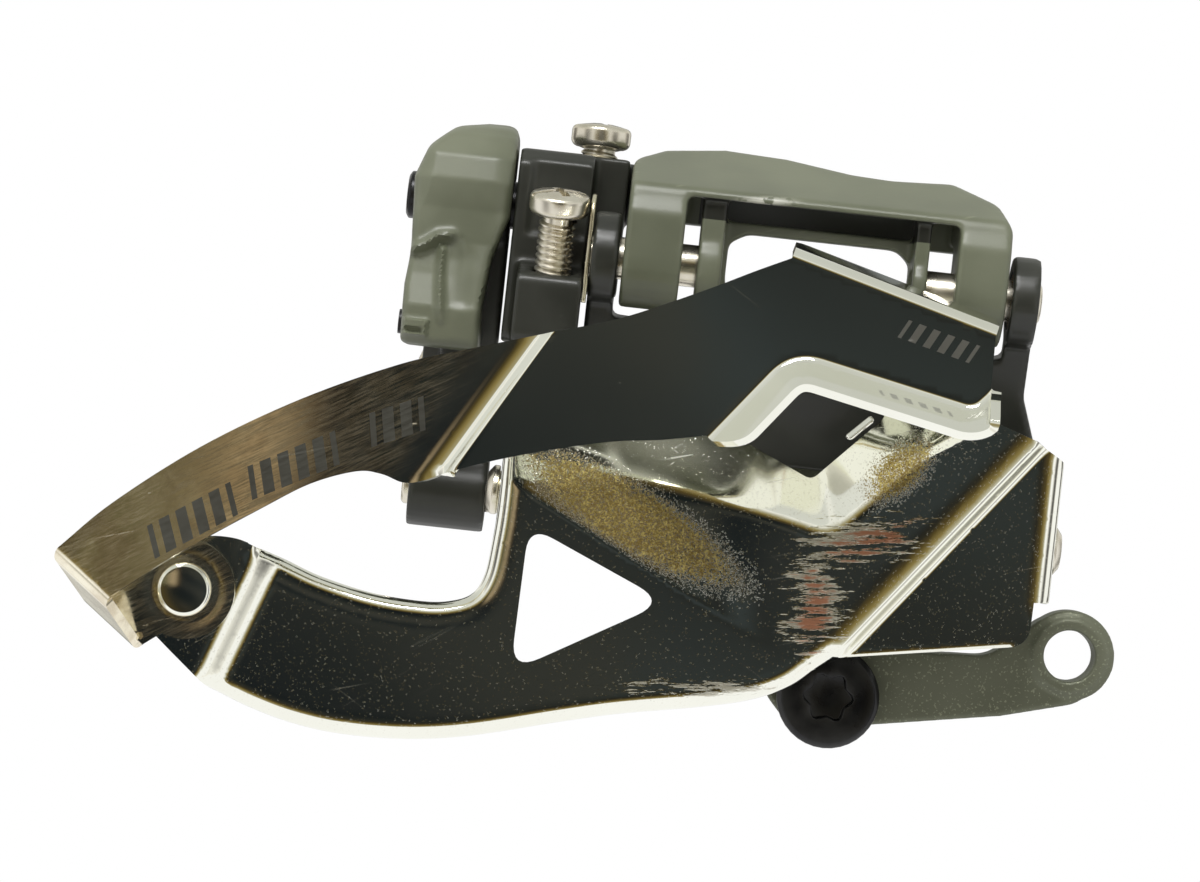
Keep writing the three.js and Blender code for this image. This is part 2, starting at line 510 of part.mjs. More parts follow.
function outerPlate() {
  const deep = [0, SHEET, 0];
  const noseTop = [[-22.1, 40.9], [-1, 35.3]];
  const lipFold = [[-1, 29.3], [-3.8, 28.7], [-18.9, 31.2], [-21.3, 31.2], [-23.2, 29.5], [-28.3, 22.7]];
  const lipEdge = [[-2.4, 25.6], [-3.9, 25.4], [-19.5, 27.8], [-22.1, 26.2], [-25, 22.9], [-28.2, 22.1]];
  const front = panel(at(OUTER_PLATE_Y, [
    [-44.8, 30.9], [-38.6, 33], [-30.9, 36.5], [-25.2, 39.6], ...noseTop, ...lipFold,
    [-38.3, 20.6], [-44.6, 19], [-47.6, 18.2], [-53.4, 16],
  ]), deep);
  const joggle = panel([
    [-44.8, OUTER_PLATE_Y, 30.9], [-53.4, OUTER_PLATE_Y, 16], [-57.2, TAIL_Y, 14.5], [-48.6, TAIL_Y, 29.8],
  ], deep);
  const tail = panel(at(TAIL_Y, [
    [-48.6, 29.8], [-53.2, 28.6], [-59.9, 26.1], [-69.5, 21.5], [-78.9, 15.7], [-87.2, 9.1], [-92.2, 4],
    [-86.4, -0.3], [-80, 4.8], [-72.1, 10.3], [-63.6, 14.4], [-57.2, 14.5],
  ]), deep);
  const lips = lipFold.slice(1).map((_, i) => panel([
    [lipFold[i][0], OUTER_PLATE_Y, lipFold[i][1]], [lipFold[i + 1][0], OUTER_PLATE_Y, lipFold[i + 1][1]],
    [lipEdge[i + 1][0], LIP_Y, lipEdge[i + 1][1]], [lipEdge[i][0], LIP_Y, lipEdge[i][1]],
  ], deep));
  const top = panel([
    [-22.1, OUTER_PLATE_Y, 40.9], [-1, OUTER_PLATE_Y, 35.3], [-0.2, TAB_Y, 37.4], [-21.3, TAB_Y, 43],
  ], [-0.25, 0, -0.95]);
  const downTabShape = outline([[-20, 41.8], [-8, 38.6], [-8, 32.4, 3], [-18.5, 32.4, 3]]);
  const downTab = prismY(downTabShape, TAB_Y, TAB_Y + SHEET);
  const bridge = panel([
    [-92.2, TAIL_Y, 4], [-86.4, TAIL_Y, -0.3], [-83.4, TAB_Y, -5.2], [-88.8, TAB_Y, -1.2],
  ], [0.72, 0.3, 0.62]);
  const tab = prismY(outline([
    [-88.8, -1.2], [-83.4, -5.2], [-77.4, -4.2, 3], [-74.4, 1.4, 4], [-78.6, 6.4, 4], [-83.4, 5.2, 3],
  ]), TAB_Y, TAB_Y + SHEET);
  return cut(
    join(front, joggle, tail, ...lips, top, downTab, bridge, tab),
    rodY(TAB_Y - 2, TAB_Y + 3, -79.7, 0.9, 2 + RUN, 20),
    rodY(TAB_Y - 2, TAB_Y + 3, -13.5, 35.6, 1.7 + RUN, 20),
  );
}
add('outer_cage_plate', 'chrome', outerPlate());

// ---- cage: inner plate -----------------------------------------------------------------------

function innerPlate() {
  const deep = [0, SHEET, 0];
  const landShape = [[-84.6, -2.4], [-81.7, -4.8], [-77.4, -8.3], [-72.4, 4.7], [-78, 6.6], [-82, 3.6]];
  const land = panel(at(LAND_Y, landShape), deep);
  const step = panel([
    [-72.4, LAND_Y, 4.7], [-77.4, LAND_Y, -8.3], [-75.3, INNER_PLATE_Y, -9.1], [-70, INNER_PLATE_Y, 4.5],
  ], deep);
  const main = panel(at(INNER_PLATE_Y, [
    [-70, 4.5], [-75.3, -9.1], [-72.4, -10.4], [-67.8, -11.6], [-62.6, -12.3], [-55.7, -12.1], [-49, -11.2],
    [-40.1, -8.6], [-34.1, -6.9], [-26, -5.3], [-20.9, -4.4], [-17, -2.9], [-14.1, -0.5], [-12.4, 1.1],
    [4, 4.3], [6.2, 5.3], [7.2, 7.6], [FLANGE_RIGHT, 8.8], [FLANGE_RIGHT, 23.2], [5.3, 25.4], [-4, 28.2],
    [-8, 38.2], [-19, 38.2], [-21, 30], [FLANGE_LEFT, 24], [FLANGE_LEFT, 3.1], [-50.6, 2.6], [-55.7, 2.2],
    [-60.9, 2.5], [-66.2, 3.3],
  ]), deep);
  const bottom = [
    [-75.3, -9.1], [-67.8, -11.6], [-62.6, -12.3], [-55.7, -12.1], [-49, -11.2], [-34.1, -6.9], [-20.9, -4.4],
    [-14.1, -0.5],
  ];
  const rims = bottom.slice(1).map(([x, z], i) => panel([
    [bottom[i][0], INNER_PLATE_Y, bottom[i][1]], [x, INNER_PLATE_Y, z],
    [x, INNER_PLATE_Y + 2.4, z], [bottom[i][0], INNER_PLATE_Y + 2.4, bottom[i][1]],
  ], [0, 0, SHEET]));
  const left = prismX(outline([
    [INNER_PLATE_Y, 3.6], [-10, 6, 4], [-5, 9.2, 2], [3, 8.6, 4], [8, 13.7, 4], [3, 18.8, 4], [-5, 19.6, 2],
    [INNER_PLATE_Y, 24],
  ]), FLANGE_LEFT, FLANGE_LEFT + SHEET);
  const right = prismX(outline([
    [INNER_PLATE_Y, 8.9], [-8, 8.9, 2], [-4, 9.5, 2], [1, 14.3, 4], [-4, 19.2, 4], [-9, 20.6, 3],
    [INNER_PLATE_Y, 23.2],
  ]), FLANGE_RIGHT - SHEET, FLANGE_RIGHT);
  const tri = outline([[-45.2, 10.6, 1.6], [-31.2, 4.9, 1.4], [-45.6, -3.4, 1.6]]);
  const diamond = outline([[-25, 22.4, 0.8], [-17, 19.2, 1], [-10, 26, 0.8], [-18.4, 30.6, 1.2]]);
  return cut(
    join(land, step, main, ...rims, left, right),
    prismY(tri, -25, -10),
    prismY(diamond, -25, -10),
    rodY(-25, -10, -79.7, 0.9, 2 + RUN, 20),
    rodY(-25, -10, -13.5, 35.6, 1.7 + RUN, 20),
    rodX(FLANGE_LEFT - 1, FLANGE_LEFT + 2, OUTER_LOW, CAGE_PIN_R + RUN, 24),
    rodX(FLANGE_RIGHT - 2, FLANGE_RIGHT + 1, OUTER_LOW, CAGE_PIN_R + RUN, 24),
    rodX(FLANGE_LEFT - 1, FLANGE_LEFT + 2, INNER_LOW, CAGE_PIN_R + RUN, 24),
  );
}
add('inner_cage_plate', 'chrome', innerPlate());

// A rivet along Y: low dome in front, upset head behind.
function rivet(name, x, z, front, back, radius, domeRadius) {
  const depth = back - front;
  const profile = [
    [0, -0.9], [domeRadius * 0.8, -0.9], [domeRadius, -0.4], [domeRadius, 0], [radius, 0], [radius, depth],
    [domeRadius, depth], [domeRadius * 0.92, depth + 0.5], [domeRadius * 0.5, depth + 1.1], [0, depth + 1.2],
  ];
  const mesh = add(name, 'chrome', turned(profile));
  mesh.rotation.x = Math.PI / 2;
  mesh.position.set(x, back, z);
}
rivet('tail_rivet', -79.7, 0.9, TAB_Y - GAP, LAND_Y + SHEET + GAP, 2, 2.75);
rivet('bridge_rivet', -13.5, 35.6, TAB_Y - GAP, INNER_PLATE_Y + SHEET + GAP, 1.7, 2.6);

export default derailleur;
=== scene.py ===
# Looks of the front derailleur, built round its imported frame. Lengths are in millimetres, and MM turns them
# into metres. X runs forward, Y inboard and Z up, and the near side of the part faces -Y.
import json
import math
from contextlib import contextmanager

import bmesh
import bpy
import numpy as np
from mathutils import Matrix, Vector
from mathutils.geometry import delaunay_2d_cdt


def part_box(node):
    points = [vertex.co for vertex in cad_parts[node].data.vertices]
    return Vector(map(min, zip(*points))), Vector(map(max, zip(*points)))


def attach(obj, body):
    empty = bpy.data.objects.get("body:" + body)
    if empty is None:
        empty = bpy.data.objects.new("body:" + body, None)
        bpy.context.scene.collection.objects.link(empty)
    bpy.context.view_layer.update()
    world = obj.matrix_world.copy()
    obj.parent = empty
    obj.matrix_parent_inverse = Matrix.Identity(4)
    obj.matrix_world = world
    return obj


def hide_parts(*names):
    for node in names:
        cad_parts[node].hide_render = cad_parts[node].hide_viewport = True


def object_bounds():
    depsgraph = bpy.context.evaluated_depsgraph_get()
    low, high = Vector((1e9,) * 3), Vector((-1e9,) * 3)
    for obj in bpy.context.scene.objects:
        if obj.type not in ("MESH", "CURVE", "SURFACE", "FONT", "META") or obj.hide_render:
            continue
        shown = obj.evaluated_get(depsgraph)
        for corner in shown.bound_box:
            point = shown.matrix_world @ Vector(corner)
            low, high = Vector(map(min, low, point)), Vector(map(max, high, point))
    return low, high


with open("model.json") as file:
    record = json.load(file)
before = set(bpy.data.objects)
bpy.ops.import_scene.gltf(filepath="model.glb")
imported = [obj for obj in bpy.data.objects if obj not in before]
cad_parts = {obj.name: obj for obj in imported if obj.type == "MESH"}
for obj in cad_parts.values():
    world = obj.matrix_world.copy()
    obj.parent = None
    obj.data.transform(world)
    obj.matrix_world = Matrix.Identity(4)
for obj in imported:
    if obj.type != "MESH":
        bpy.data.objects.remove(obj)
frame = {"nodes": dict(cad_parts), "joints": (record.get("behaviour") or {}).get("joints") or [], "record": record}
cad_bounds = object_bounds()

MM = 0.001
scene = bpy.context.scene


# ---- places in the frame -------------------------------------------------------------------------

def cad_box(node):
    low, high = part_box(node)
    return np.array(low) / MM, np.array(high) / MM


JOINTS = {j["name"]: j for j in frame["joints"]}

SHEET = 1.0                                      # thickness of the cage plates
OUTER_Y = -30.0                                  # near face of the outer plate
TAB_Y = -19.9                                    # near face of the tab behind its tail
LAND_Y = -18.6                                   # near face of the inner plate under the tail tab
INNER_Y = -17.4                                  # near face of the inner plate's main panel
FLANGE_LEFT = -48.95                             # middle of the sheet of the cage's left side flange
FLANGE_RIGHT = 8.75                              # and of its right one
NEAR = (0, -1, 0)                                # the direction toward the viewer


# ---- camera --------------------------------------------------------------------------------------

CAMERA_AT = (-39.2, -500.0, 20.6)
CAMERA_ROLL = math.radians(6.3)
CAMERA_LENS = 141.0
SENSOR_WIDTH = 36.0


def make_camera():
    data = bpy.data.cameras.new("camera")
    data.lens = CAMERA_LENS
    data.sensor_width = SENSOR_WIDTH
    data.clip_start = 0.01
    data.clip_end = 50.0
    camera = bpy.data.objects.new("camera", data)
    scene.collection.objects.link(camera)
    right = Vector((math.cos(CAMERA_ROLL), 0, math.sin(CAMERA_ROLL)))
    up = Vector((-math.sin(CAMERA_ROLL), 0, math.cos(CAMERA_ROLL)))
    turn = Matrix((right, up, Vector(NEAR))).transposed().to_4x4()
    camera.matrix_world = Matrix.Translation(Vector(CAMERA_AT) * MM) @ turn
    scene.camera = camera


# ---- material kit --------------------------------------------------------------------------------

NEAR_LIMIT = -0.55                               # Y of the normal at the rims of what counts as the near side


class Nodes:
    """Short calls for building a material. Places are X and Z in millimetres, and masks run from 0 to 1."""

    def __init__(self, name):
        self.material = bpy.data.materials.new(name)
        self.material.use_nodes = True
        self.tree = self.material.node_tree
        self.coords = self.add("ShaderNodeTexCoord").outputs["Object"]

    def fill(self, node, inputs):
        """Puts numbers, colours and other nodes' outputs into a node's inputs."""
        for key, value in inputs.items():
            if isinstance(value, bpy.types.NodeSocket):
                self.tree.links.new(value, node.inputs[key])
            else:
                node.inputs[key].default_value = value
        return node

    def add(self, kind, inputs={}, **settings):
        node = self.tree.nodes.new(kind)
        for key, value in settings.items():
            setattr(node, key, value)
        return self.fill(node, inputs)

    def finish(self, color, rough, normal, metallic):
        shader = self.tree.nodes["Principled BSDF"]
        self.fill(shader, {"Base Color": color, "Roughness": rough, "Normal": normal, "Metallic": metallic})
        return self.material

    def place(self, scale=(1, 1, 1), turn=0.0, source=None):
        """Coordinates turned about Y, then scaled."""
        inputs = {"Vector": source or self.coords, "Scale": scale, "Rotation": (0, turn, 0)}
        return self.add("ShaderNodeMapping", inputs).outputs["Vector"]

    def noise(self, scale, detail=3.0, rough=0.5, where=None):
        inputs = {"Vector": where or self.coords, "Scale": scale, "Detail": detail, "Roughness": rough}
        return self.add("ShaderNodeTexNoise", inputs).outputs["Fac"]

    def cells(self, scale):
        """A random brightness in each cell of a fine irregular grid."""
        cell = self.add("ShaderNodeTexVoronoi", {"Vector": self.coords, "Scale": scale})
        return self.add("ShaderNodeSeparateColor", {"Color": cell.outputs["Color"]}).outputs["Red"]

    def ramp(self, value, low, high, to_low=0.0, to_high=1.0):
        """A smooth step that takes values from low to high to values from to_low to to_high."""
        inputs = {"Value": value, "From Min": low, "From Max": high, "To Min": to_low, "To Max": to_high}
        node = self.add("ShaderNodeMapRange", inputs, clamp=True, interpolation_type="SMOOTHSTEP")
        return node.outputs["Result"]

    def math(self, operation, *values):
        return self.add("ShaderNodeMath", dict(enumerate(values)), operation=operation).outputs["Value"]

    def plus(self, a, b, share=None):
        """The value a plus b, or plus that share of b."""
        return self.math("ADD", a, b if share is None else self.times(b, share))

    def minus(self, a, b):
        return self.math("SUBTRACT", a, b)

    def times(self, a, b):
        return self.math("MULTIPLY", a, b)

    def most(self, a, b):
        return self.math("MAXIMUM", a, b)

    def least(self, a, b):
        return self.math("MINIMUM", a, b)

    def below(self, a, b):
        return self.math("LESS_THAN", a, b)

    def above(self, a, b):
        return self.math("GREATER_THAN", a, b)

    def shaken(self, value, noise, strength):
        """A value moved up and down by a noise, so that what is cut from it has a ragged edge."""
        return self.plus(value, self.minus(noise, 0.5), strength)

    def mix(self, factor, a, b):
        colors = {key: (*c, 1.0) if isinstance(c, tuple) else c for key, c in ((6, a), (7, b))}
        return self.add("ShaderNodeMix", {0: factor, **colors}, data_type="RGBA").outputs[2]

    def tint(self, base, mask, share, color):
        """The base colour with a share of another colour where the mask is 1."""
        return self.mix(self.times(mask, share), base, color)

    def bump(self, height, strength, depth, normal=None):
        inputs = {"Height": height, "Strength": strength, "Distance": depth * MM}
        if normal is not None:
            inputs["Normal"] = normal
        return self.add("ShaderNodeBump", inputs).outputs["Normal"]

    def xyz(self):
        return self.add("ShaderNodeSeparateXYZ", {0: self.coords}).outputs

    def facing(self, axis, limit):
        """1 where the surface's normal has less than the limit along an axis, and 0 elsewhere."""
        normal = self.add("ShaderNodeTexCoord").outputs["Normal"]
        return self.below(self.add("ShaderNodeSeparateXYZ", {0: normal}).outputs[axis], limit)

    def near_side(self):
        """1 on the surfaces that face the near side, and 0 on the others."""
        return self.facing("Y", NEAR_LIMIT)

    def half_plane(self, a, b, width):
        """1 on the left of the line a to b and 0 on its right, with a blend of the half-width given."""
        x, _, z = self.xyz()
        run = np.array(b, float) - np.array(a, float)
        side = np.array([-run[1], run[0]]) / np.hypot(*run)
        offset = -float(side @ np.array(a, float)) * MM
        value = self.plus(self.times(x, float(side[0])), z, float(side[1]))
        return self.ramp(self.plus(value, offset), -width * MM, width * MM)

    def local(self, centre, turn, size=(1, 1)):
        """Distances along and across a turned direction from a point, divided by the sizes given."""
        x, _, z = self.xyz()
        x, z = self.minus(x, centre[0] * MM), self.minus(z, centre[1] * MM)
        c, s = math.cos(turn) / MM, math.sin(turn) / MM
        return (self.plus(self.times(x, c / size[0]), z, s / size[0]),
                self.plus(self.times(x, -s / size[1]), z, c / size[1]))

    def spot(self, centre, size, peak=1.0, turn=0.0):
        """The peak value at a point, falling to 0 at the half-sizes given, which are turned."""
        along, across = self.local(centre, turn, size)
        far = self.math("SQRT", self.plus(self.times(along, along), self.times(across, across)))
        return self.ramp(far, 1.0, 0.0, 0.0, peak)

    def bars(self, centre, turn, length, height=3.3, pitch=1.9, share=0.62):
        """1 inside a row of plain slanted bars centred on a point."""
        along, up = self.local(centre, turn)
        slanted = self.minus(along, self.times(up, 0.25))
        # 50 whole steps keep the wave above 0, and the rest puts the middle of a bar on the centre
        wave = self.math("FRACT", self.plus(self.math("DIVIDE", slanted, pitch), 50.5 + share / 2))
        in_height = self.below(self.math("ABSOLUTE", up), height / 2)
        in_length = self.below(self.math("ABSOLUTE", slanted), length / 2)
        return self.times(self.below(wave, share), self.times(in_height, in_length))

    def scratches(self, angle, density, length=14.0, fine=900.0):
        """1 inside thin streaks that run along one direction in the XZ plane."""
        where = self.place((1.0 / length, 0.4, 1.0), source=self.place(turn=angle))
        streak = self.noise(fine, detail=1.0, where=where)
        return self.ramp(streak, 1.0 - density, 1.0 - density + 0.04)

    def streaked(self, scale, turn, stretch, detail, rough=0.5):
        """A noise drawn out along one direction in the XZ plane."""
        return self.noise(scale, detail, rough, self.place((stretch, 1.0, 1.0), source=self.place(turn=turn)))


# ---- materials -----------------------------------------------------------------------------------

CHROME = (0.93, 0.93, 0.85), (0.88, 0.88, 0.79)  # clear chrome and its faint haze
# the next pair is the dark and bright grains of a painted gold reflection
GOLD_REFLECTION = (0.30, 0.19, 0.03), (1.0, 0.84, 0.32)     # dark and bright grains
# the next pair is a painted warm reflection for the tail, mottled
WARM_REFLECTION = (0.70, 0.60, 0.44), (0.95, 0.88, 0.70)  # the mottled tail
BARE_METAL, OLD_PAINT = (0.46, 0.43, 0.34), (0.52, 0.15, 0.05)
TAIL_MARK, NOSE_MARK = (0.055, 0.058, 0.055), (0.10, 0.10, 0.10)
# painted shade for the hollow under the casting's roof, and near-white for a worn spot with a painted glint
PAINTED_SHADE, RUBBED_GLINT = (0.006, 0.006, 0.005), (0.80, 0.78, 0.70)
CHROME_ROUGH_MOST = 0.7


def gold_reflection_grain(kit, base, rough, normal):
    """Painted gold reflection, laid down as coarse grains, below the inner plate's crease and in the pocket's
    corner.
    """
    below = kit.half_plane(*CREASE, 0.12)
    grain = kit.cells(8200.0)
    sand = kit.noise(2600.0, detail=3.0, rough=0.7)
    zone = kit.times(below, kit.spot((-35.2, 13.2), (17.5, 4.6), 1.5, -0.44))
    zone = kit.most(zone, kit.spot((-8.2, 21.0), (6.5, 3.4), 1.0, 0.85))
    zone = kit.least(kit.times(zone, 1.5), kit.near_side())
    lit = kit.ramp(kit.plus(kit.times(zone, 0.55), grain, 0.5), 0.45, 0.75)
    shine = kit.times(kit.ramp(grain, 0.25, 1.0), kit.ramp(sand, 0.32, 0.62))
    shine = kit.times(shine, kit.ramp(zone, 0.2, 0.9))
    # paints the gold reflection into the chrome's colour
    base = kit.tint(base, lit, 0.95, kit.mix(shine, *GOLD_REFLECTION))
    rough = kit.plus(rough, kit.spot((-31.0, 20.5), (15.0, 4.6), 0.7, -0.1), 0.17)
    return base, kit.plus(rough, lit, 0.27), kit.bump(kit.times(grain, lit), 0.75, 0.04, normal)


def chain_wear(kit, base, rough, normal):
    """Ragged marks where the chain rubs the inner plate, with old paint left in them."""
    flow = kit.streaked(260.0, 0.2, 0.35, 6.0, 0.8)
    fine = kit.streaked(1500.0, 0.1, 0.10, 4.0, 0.8)
    blot = kit.most(kit.spot((-11.3, 13.6), (12.0, 4.6), 1.0, 0.25), kit.spot((-15.4, 6.5), (6.0, 9.5)))
    blot = kit.most(blot, kit.times(kit.spot((-26.0, -3.3), (19.0, 1.9), 1.0, 0.13), 0.9))
    ragged = kit.shaken(kit.shaken(blot, flow, 1.5), fine, 4.2)
    worn = kit.times(kit.ramp(ragged, 0.62, 1.15), kit.ramp(blot, 0.04, 0.35))
    worn = kit.times(worn, kit.near_side())
    paint = kit.most(kit.spot((-9.9, 13.7), (9.5, 3.0), 1.0, 0.40), kit.spot((-15.4, 5.8), (3.4, 7.5)))
    paint = kit.shaken(kit.shaken(paint, fine, 3.4), flow, 2.4)
    paint = kit.times(kit.ramp(paint, 0.62, 1.05), kit.ramp(worn, 0.1, 0.5))
    base = kit.tint(kit.tint(base, worn, 0.70, BARE_METAL), paint, 0.75, OLD_PAINT)
    return base, kit.plus(rough, worn, 0.34), kit.bump(worn, 0.3, 0.04, normal)


def warm_reflection_tail(kit, base, rough, normal):
    """The brushed tail beyond the joggle, with a painted warm reflection mottled into its colour, and the plain
    bars on the tail and the nose.
    """
    brush = kit.streaked(6500.0, 0.55, 0.05, 3.0)
    zone = kit.minus(1.0, kit.half_plane((-50.5, 30.0), (-59.5, 14.0), 2.5))
    mottle = kit.noise(230.0, detail=6.0, rough=0.65)
    # paints the tail's warm reflection into its colour
    base = kit.tint(base, zone, 0.75, kit.mix(kit.ramp(mottle, 0.36, 0.62), *WARM_REFLECTION))
    rough = kit.plus(rough, kit.times(zone, kit.ramp(brush, 0.3, 0.7, 0.02, 0.13)))
    normal = kit.bump(kit.times(brush, zone), 0.10, 0.02, normal)
    marks = kit.most(kit.bars((-79.0, 8.2), 0.60, 9.5),
                     kit.most(kit.bars((-69.5, 14.8), 0.50, 9.5), kit.bars((-59.6, 20.3), 0.42, 5.7)))
    nose = kit.bars((-6.6, 34.2), -0.24, 7.6, 2.0, 1.52, 0.5)
    marks, nose = kit.times(marks, kit.near_side()), kit.times(nose, kit.near_side())
    base = kit.tint(kit.tint(base, marks, 0.93, TAIL_MARK), nose, 0.80, NOSE_MARK)
    return base, kit.plus(rough, kit.most(marks, nose), 0.32), normal


def chrome(name, *extras):
    """Chrome with a faint haze and fine scratches, and with what the extras add to it."""
    kit = Nodes(name)
    haze = kit.noise(45.0, detail=5.0)
    base = kit.mix(kit.ramp(haze, 0.35, 0.7), *CHROME)
    rough = kit.ramp(haze, 0.3, 0.75, 0.035, 0.09)
    faint = kit.ramp(kit.noise(150.0, detail=2.0), 0.42, 0.62)
    lines = kit.most(kit.scratches(0.30, 0.28, 70.0, 3000.0), kit.scratches(0.62, 0.26, 60.0, 3400.0))
    lines = kit.times(faint, kit.most(lines, kit.scratches(-0.55, 0.25, 50.0, 3200.0)))
    ticks = kit.times(kit.scratches(0.2, 0.28, 5.0, 2600.0), kit.ramp(kit.noise(420.0), 0.62, 0.68))
    rough = kit.plus(kit.plus(rough, lines, 0.14), ticks, 0.25)
    normal = kit.bump(lines, 0.03, 0.02)
    for extra in extras:
        base, rough, normal = extra(kit, base, rough, normal)
    return kit.finish(base, kit.least(rough, CHROME_ROUGH_MOST), normal, 1.0)


def brighter(color, times, more=0.0):
    return tuple(min(1.0, times * c + more) for c in color)


def shaded_hollow(kit, base):
    """Painted shade in the hollow under the casting's roof, and a rubbed spot on the roof's front edge: worn
    paint, with a painted glint on it.
    """
    x, y, z = kit.xyz()
    under = kit.below(kit.minus(z, kit.times(y, 0.33)), 52.15 * MM)
    for limit in (kit.above(z, 44.6 * MM), kit.above(y, -15.9 * MM), kit.below(y, -1.2 * MM),
                  kit.facing("Z", 0.35), kit.above(x, -31.4 * MM), kit.below(x, -7.3 * MM)):
        under = kit.times(under, limit)
    # painted shade under the roof
    base = kit.tint(base, under, 0.93, PAINTED_SHADE)
    grit = kit.ramp(kit.noise(1100.0, detail=4.0), 0.40, 0.5)
    # a worn spot on the roof's front edge with a painted glint
    rubbed_glint = kit.times(kit.spot((-25.2, 46.9), (4.6, 0.8), 0.6, 0.12), grit)
    return kit.mix(kit.times(rubbed_glint, kit.below(y, -14.5 * MM)), base, RUBBED_GLINT)


def coated(name, dark, light, rough_low, rough_high, grain=1500.0, bump=0.18, metallic=0.0, *extras):
    """A satin coat on a casting: fine orange peel, faint patches and a few light rub marks."""
    kit = Nodes(name)
    patches = kit.noise(70.0, detail=4.0)
    base = kit.mix(kit.ramp(patches, 0.3, 0.7), dark, light)
    peel = kit.noise(grain, detail=3.0, rough=0.6)
    if metallic:
        sparkle = kit.ramp(kit.noise(3800.0, detail=1.0), 0.62, 0.72)
        base = kit.tint(base, sparkle, 0.35, brighter(light, 3.2))
    base = kit.tint(base, kit.scratches(0.4, 0.27, 10.0, 900.0), 0.25, brighter(light, 2.2, 0.02))
    for extra in extras:
        base = extra(kit, base)
    rough = kit.ramp(patches, 0.3, 0.7, rough_low, rough_high)
    return kit.finish(base, rough, kit.bump(peel, bump, 0.05), metallic)


def machined(name, low, high, rough_low, rough_high, metallic=1.0):
    kit = Nodes(name)
    patches = kit.noise(220.0, detail=4.0)
    color = kit.mix(kit.ramp(patches, 0.35, 0.65), low, high)
    rough = kit.ramp(patches, 0.3, 0.7, rough_low, rough_high)
    return kit.finish(color, rough, kit.bump(kit.noise(1800.0, detail=2.0), 0.1, 0.03), metallic)


MATERIALS = {
    "outer_plate": lambda: chrome("chrome_outer", warm_reflection_tail),
    "inner_plate": lambda: chrome("chrome_inner", gold_reflection_grain, chain_wear),
    "chrome": lambda: chrome("chrome_small"),
    "cast": lambda: coated("cast_grey", (0.100, 0.108, 0.070), (0.150, 0.160, 0.108), 0.30, 0.42,
                           1500.0, 0.18, 0.0, shaded_hollow),
    "black": lambda: coated("black_coat", (0.016, 0.017, 0.013), (0.030, 0.031, 0.024), 0.30, 0.44,
                            900.0, 0.12),
    "bracket": lambda: coated("bracket_grey", (0.105, 0.112, 0.075), (0.150, 0.158, 0.110), 0.34, 0.46,
                              2200.0, 0.25, 0.35),
    "black_steel": lambda: machined("black_steel", (0.012, 0.012, 0.013), (0.03, 0.03, 0.03), 0.22, 0.36,
                                    0.6),
    "nickel": lambda: machined("warm_nickel", (0.66, 0.61, 0.50), (0.78, 0.74, 0.64), 0.2, 0.34),
    "bush": lambda: machined("bush_liner", (0.10, 0.075, 0.04), (0.17, 0.13, 0.07), 0.4, 0.55, 0.2),
    "spring": lambda: machined("spring_steel", (0.55, 0.50, 0.36), (0.72, 0.68, 0.52), 0.2, 0.32),
}
made = {}


def material(name):
    if name not in made:
        made[name] = MATERIALS[name]()
    return made[name]


# ---- mesh kit ------------------------------------------------------------------------------------

FAR = 1e9


def rounded(corners, segments=8):
    """Turns corners (x, z, radius) into points, with an arc where a radius is given."""
    points = []
    count = len(corners)
    for i, corner in enumerate(corners):
        here = np.array(corner[:2], float)
        radius = corner[2] if len(corner) > 2 else 0
        if not radius:
            points.append(here)
            continue
        before = np.array(corners[i - 1][:2], float) - here
        after = np.array(corners[(i + 1) % count][:2], float) - here
        reach_before, reach_after = np.linalg.norm(before), np.linalg.norm(after)
        before, after = before / reach_before, after / reach_after
        half = math.acos(max(-1.0, min(1.0, float(before @ after)))) / 2
        reach = min(radius / math.tan(half), 0.49 * reach_before, 0.49 * reach_after)
        start, end = here + before * reach, here + after * reach
        for t in np.linspace(0, 1, segments + 1):
            points.append((1 - t) ** 2 * start + 2 * t * (1 - t) * here + t * t * end)
    return np.array(points)


def smooth_line(points, per_span=8):
    """A Catmull-Rom curve through the points, open at its ends."""
    p = np.array(points, float)
    p = np.vstack([2 * p[0] - p[1], p, 2 * p[-1] - p[-2]])
    out = []
    for i in range(1, len(p) - 2):
        for t in np.linspace(0, 1, per_span, endpoint=False):
            out.append(0.5 * (2 * p[i] + (p[i + 1] - p[i - 1]) * t
                              + (2 * p[i - 1] - 5 * p[i] + 4 * p[i + 1] - p[i + 2]) * t * t
                              + (3 * p[i] - p[i - 1] - 3 * p[i + 1] + p[i + 2]) * t ** 3))
    out.append(p[-2])
    return np.array(out)


def resample(points, step, closed=True):
    """Spaces points along a line no further apart than step, keeping its corners."""
    out = []
    count = len(points)
    for i in range(count if closed else count - 1):
        a, b = points[i], points[(i + 1) % count]
        parts = max(1, int(math.ceil(np.linalg.norm(b - a) / step)))
        out.extend(a + (b - a) * k / parts for k in range(parts))
    if not closed:
        out.append(points[-1])
    return np.array(out)


def inside(points, polygon):
    x, z = points[:, 0], points[:, 1]
    result = np.zeros(len(points), bool)
    count = len(polygon)
    for i in range(count):
        (x0, z0), (x1, z1) = polygon[i], polygon[(i + 1) % count]
        crosses = (z0 > z) != (z1 > z)
        with np.errstate(divide="ignore", invalid="ignore"):
            at = (x1 - x0) * (z - z0) / (z1 - z0) + x0
        result ^= crosses & (x < at)
    return result


def within(points, rings):
    """True for the points inside the first ring and outside the others."""
    keep = inside(points, rings[0])
    for hole in rings[1:]:
        keep &= ~inside(points, hole)
    return keep


